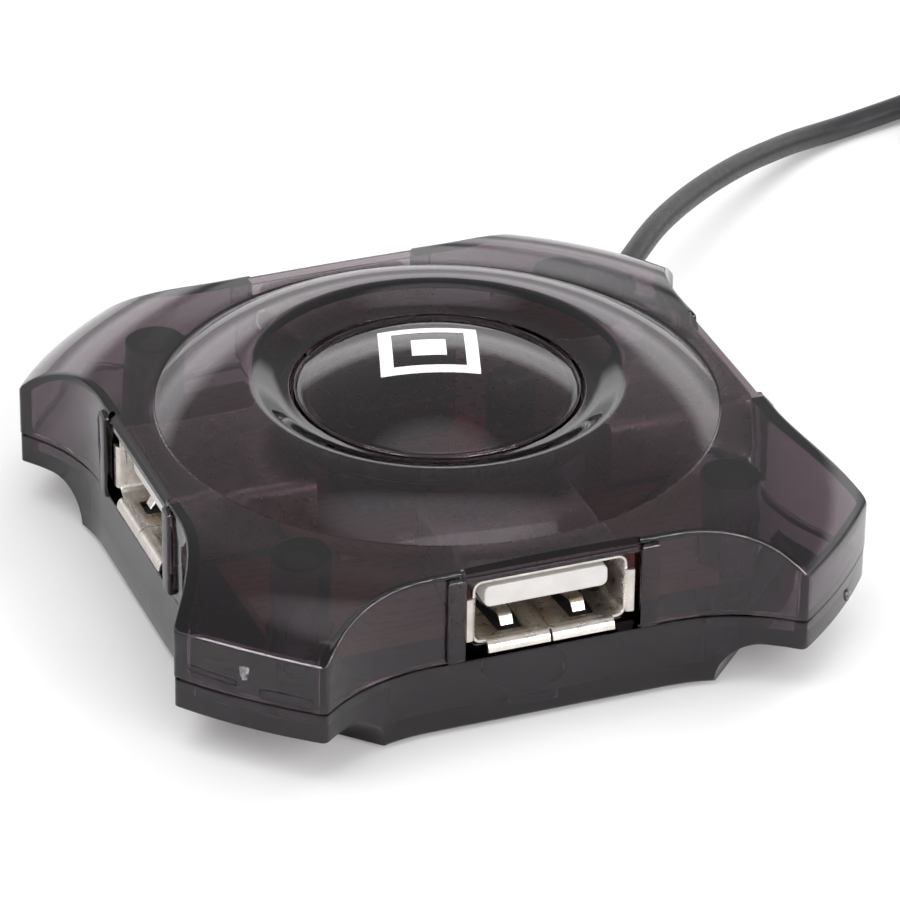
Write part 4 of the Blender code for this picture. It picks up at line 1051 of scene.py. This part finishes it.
# Fixings and feet: zinc-plated steel self-tapping screws with crossed slots, in the posts from
# below, and soft black rubber discs stuck in four shallow recesses.
screw_finish, tree, shader = coat(
    "zinc_steel", 1200.0, (0.38, 0.38, 0.40), (0.52, 0.52, 0.53), (2000.0, 0.28, 0.45), metal=1.0
)
thread = put(tree, "ShaderNodeTexWave", Scale=420.0, bands_direction="Z")
place = put(tree, "ShaderNodeTexCoord")
tree.links.new(place.outputs["Object"], thread.inputs["Vector"])
relief(tree, shader, thread.outputs["Fac"], 0.4, 0.0002)
rubber_finish, _, _ = coat(
    "foot_rubber", 900.0, (0.018, 0.018, 0.02), (0.036, 0.035, 0.037),
    (2400.0, 0.7, 0.88), (3600.0, 0.3, 0.0001),
)
for i in range(1, 5):
    nodes[f"case_screw_{i}"].data.materials[0] = screw_finish
    nodes[f"rubber_foot_{i}"].data.materials[0] = rubber_finish

# Cable entry: a moulded PVC grommet clamped in the corner wall, the stripped end of the jacket and
# four thin coloured wires that run round the post to their pads.
grommet_finish, _, _ = coat(
    "grommet_pvc", 900.0, (0.024, 0.023, 0.026), (0.04, 0.038, 0.042),
    (2500.0, 0.4, 0.55), (3600.0, 0.15, 0.0001),
)
nodes["cable_grommet"].data.materials[0] = grommet_finish
nodes["cable_jacket_end"].data.materials[0] = cable_finish
wire_colours = (
    ("red", (0.45, 0.015, 0.015), (0.58, 0.03, 0.025)),
    ("white", (0.66, 0.66, 0.63), (0.8, 0.8, 0.77)),
    ("green", (0.02, 0.24, 0.06), (0.04, 0.36, 0.1)),
    ("black", (0.012, 0.012, 0.014), (0.03, 0.03, 0.032)),
)
for colour, dark, light in wire_colours:
    wire_finish, _, _ = coat(
        f"wire_{colour}_pvc", 1800.0, dark, light, (3000.0, 0.32, 0.45)
    )
    nodes[f"wire_{colour}"].data.materials[0] = wire_finish

# Coil ties and plug: woven black tie bands; a black PVC overmould with a fine spark-eroded
# texture, its flexible strain relief, a nickel-plated shell and a black contact carrier.
tie_finish, tree, shader, _ = new_finish("tie_weave")
place = put(tree, "ShaderNodeTexCoord")
weave = put(tree, "ShaderNodeTexWave", Scale=900.0, Distortion=0.5, bands_direction="Z")
tree.links.new(place.outputs["Object"], weave.inputs["Vector"])
tint(tree, shader, weave.outputs["Fac"], (0.014, 0.014, 0.015), (0.04, 0.04, 0.042))
shader.inputs["Roughness"].default_value = 0.75
relief(tree, shader, weave.outputs["Fac"], 0.5, 0.0001)
overmould_finish, _, _ = coat(
    "overmould_pvc", 1400.0, (0.02, 0.02, 0.022), (0.034, 0.033, 0.036),
    (2800.0, 0.48, 0.66), (4200.0, 0.35, 0.0001),
)
carrier_finish, _, _ = coat(
    "carrier_nylon", 1500.0, (0.016, 0.016, 0.017), (0.028, 0.028, 0.03), 0.5
)
for node, finish in (
    ("coil_tie_1", tie_finish), ("coil_tie_2", tie_finish), ("plug_overmould", overmould_finish),
    ("plug_strain_relief", overmould_finish), ("plug_shell", nickel),
    ("plug_insulator", carrier_finish),
):
    nodes[node].data.materials[0] = finish
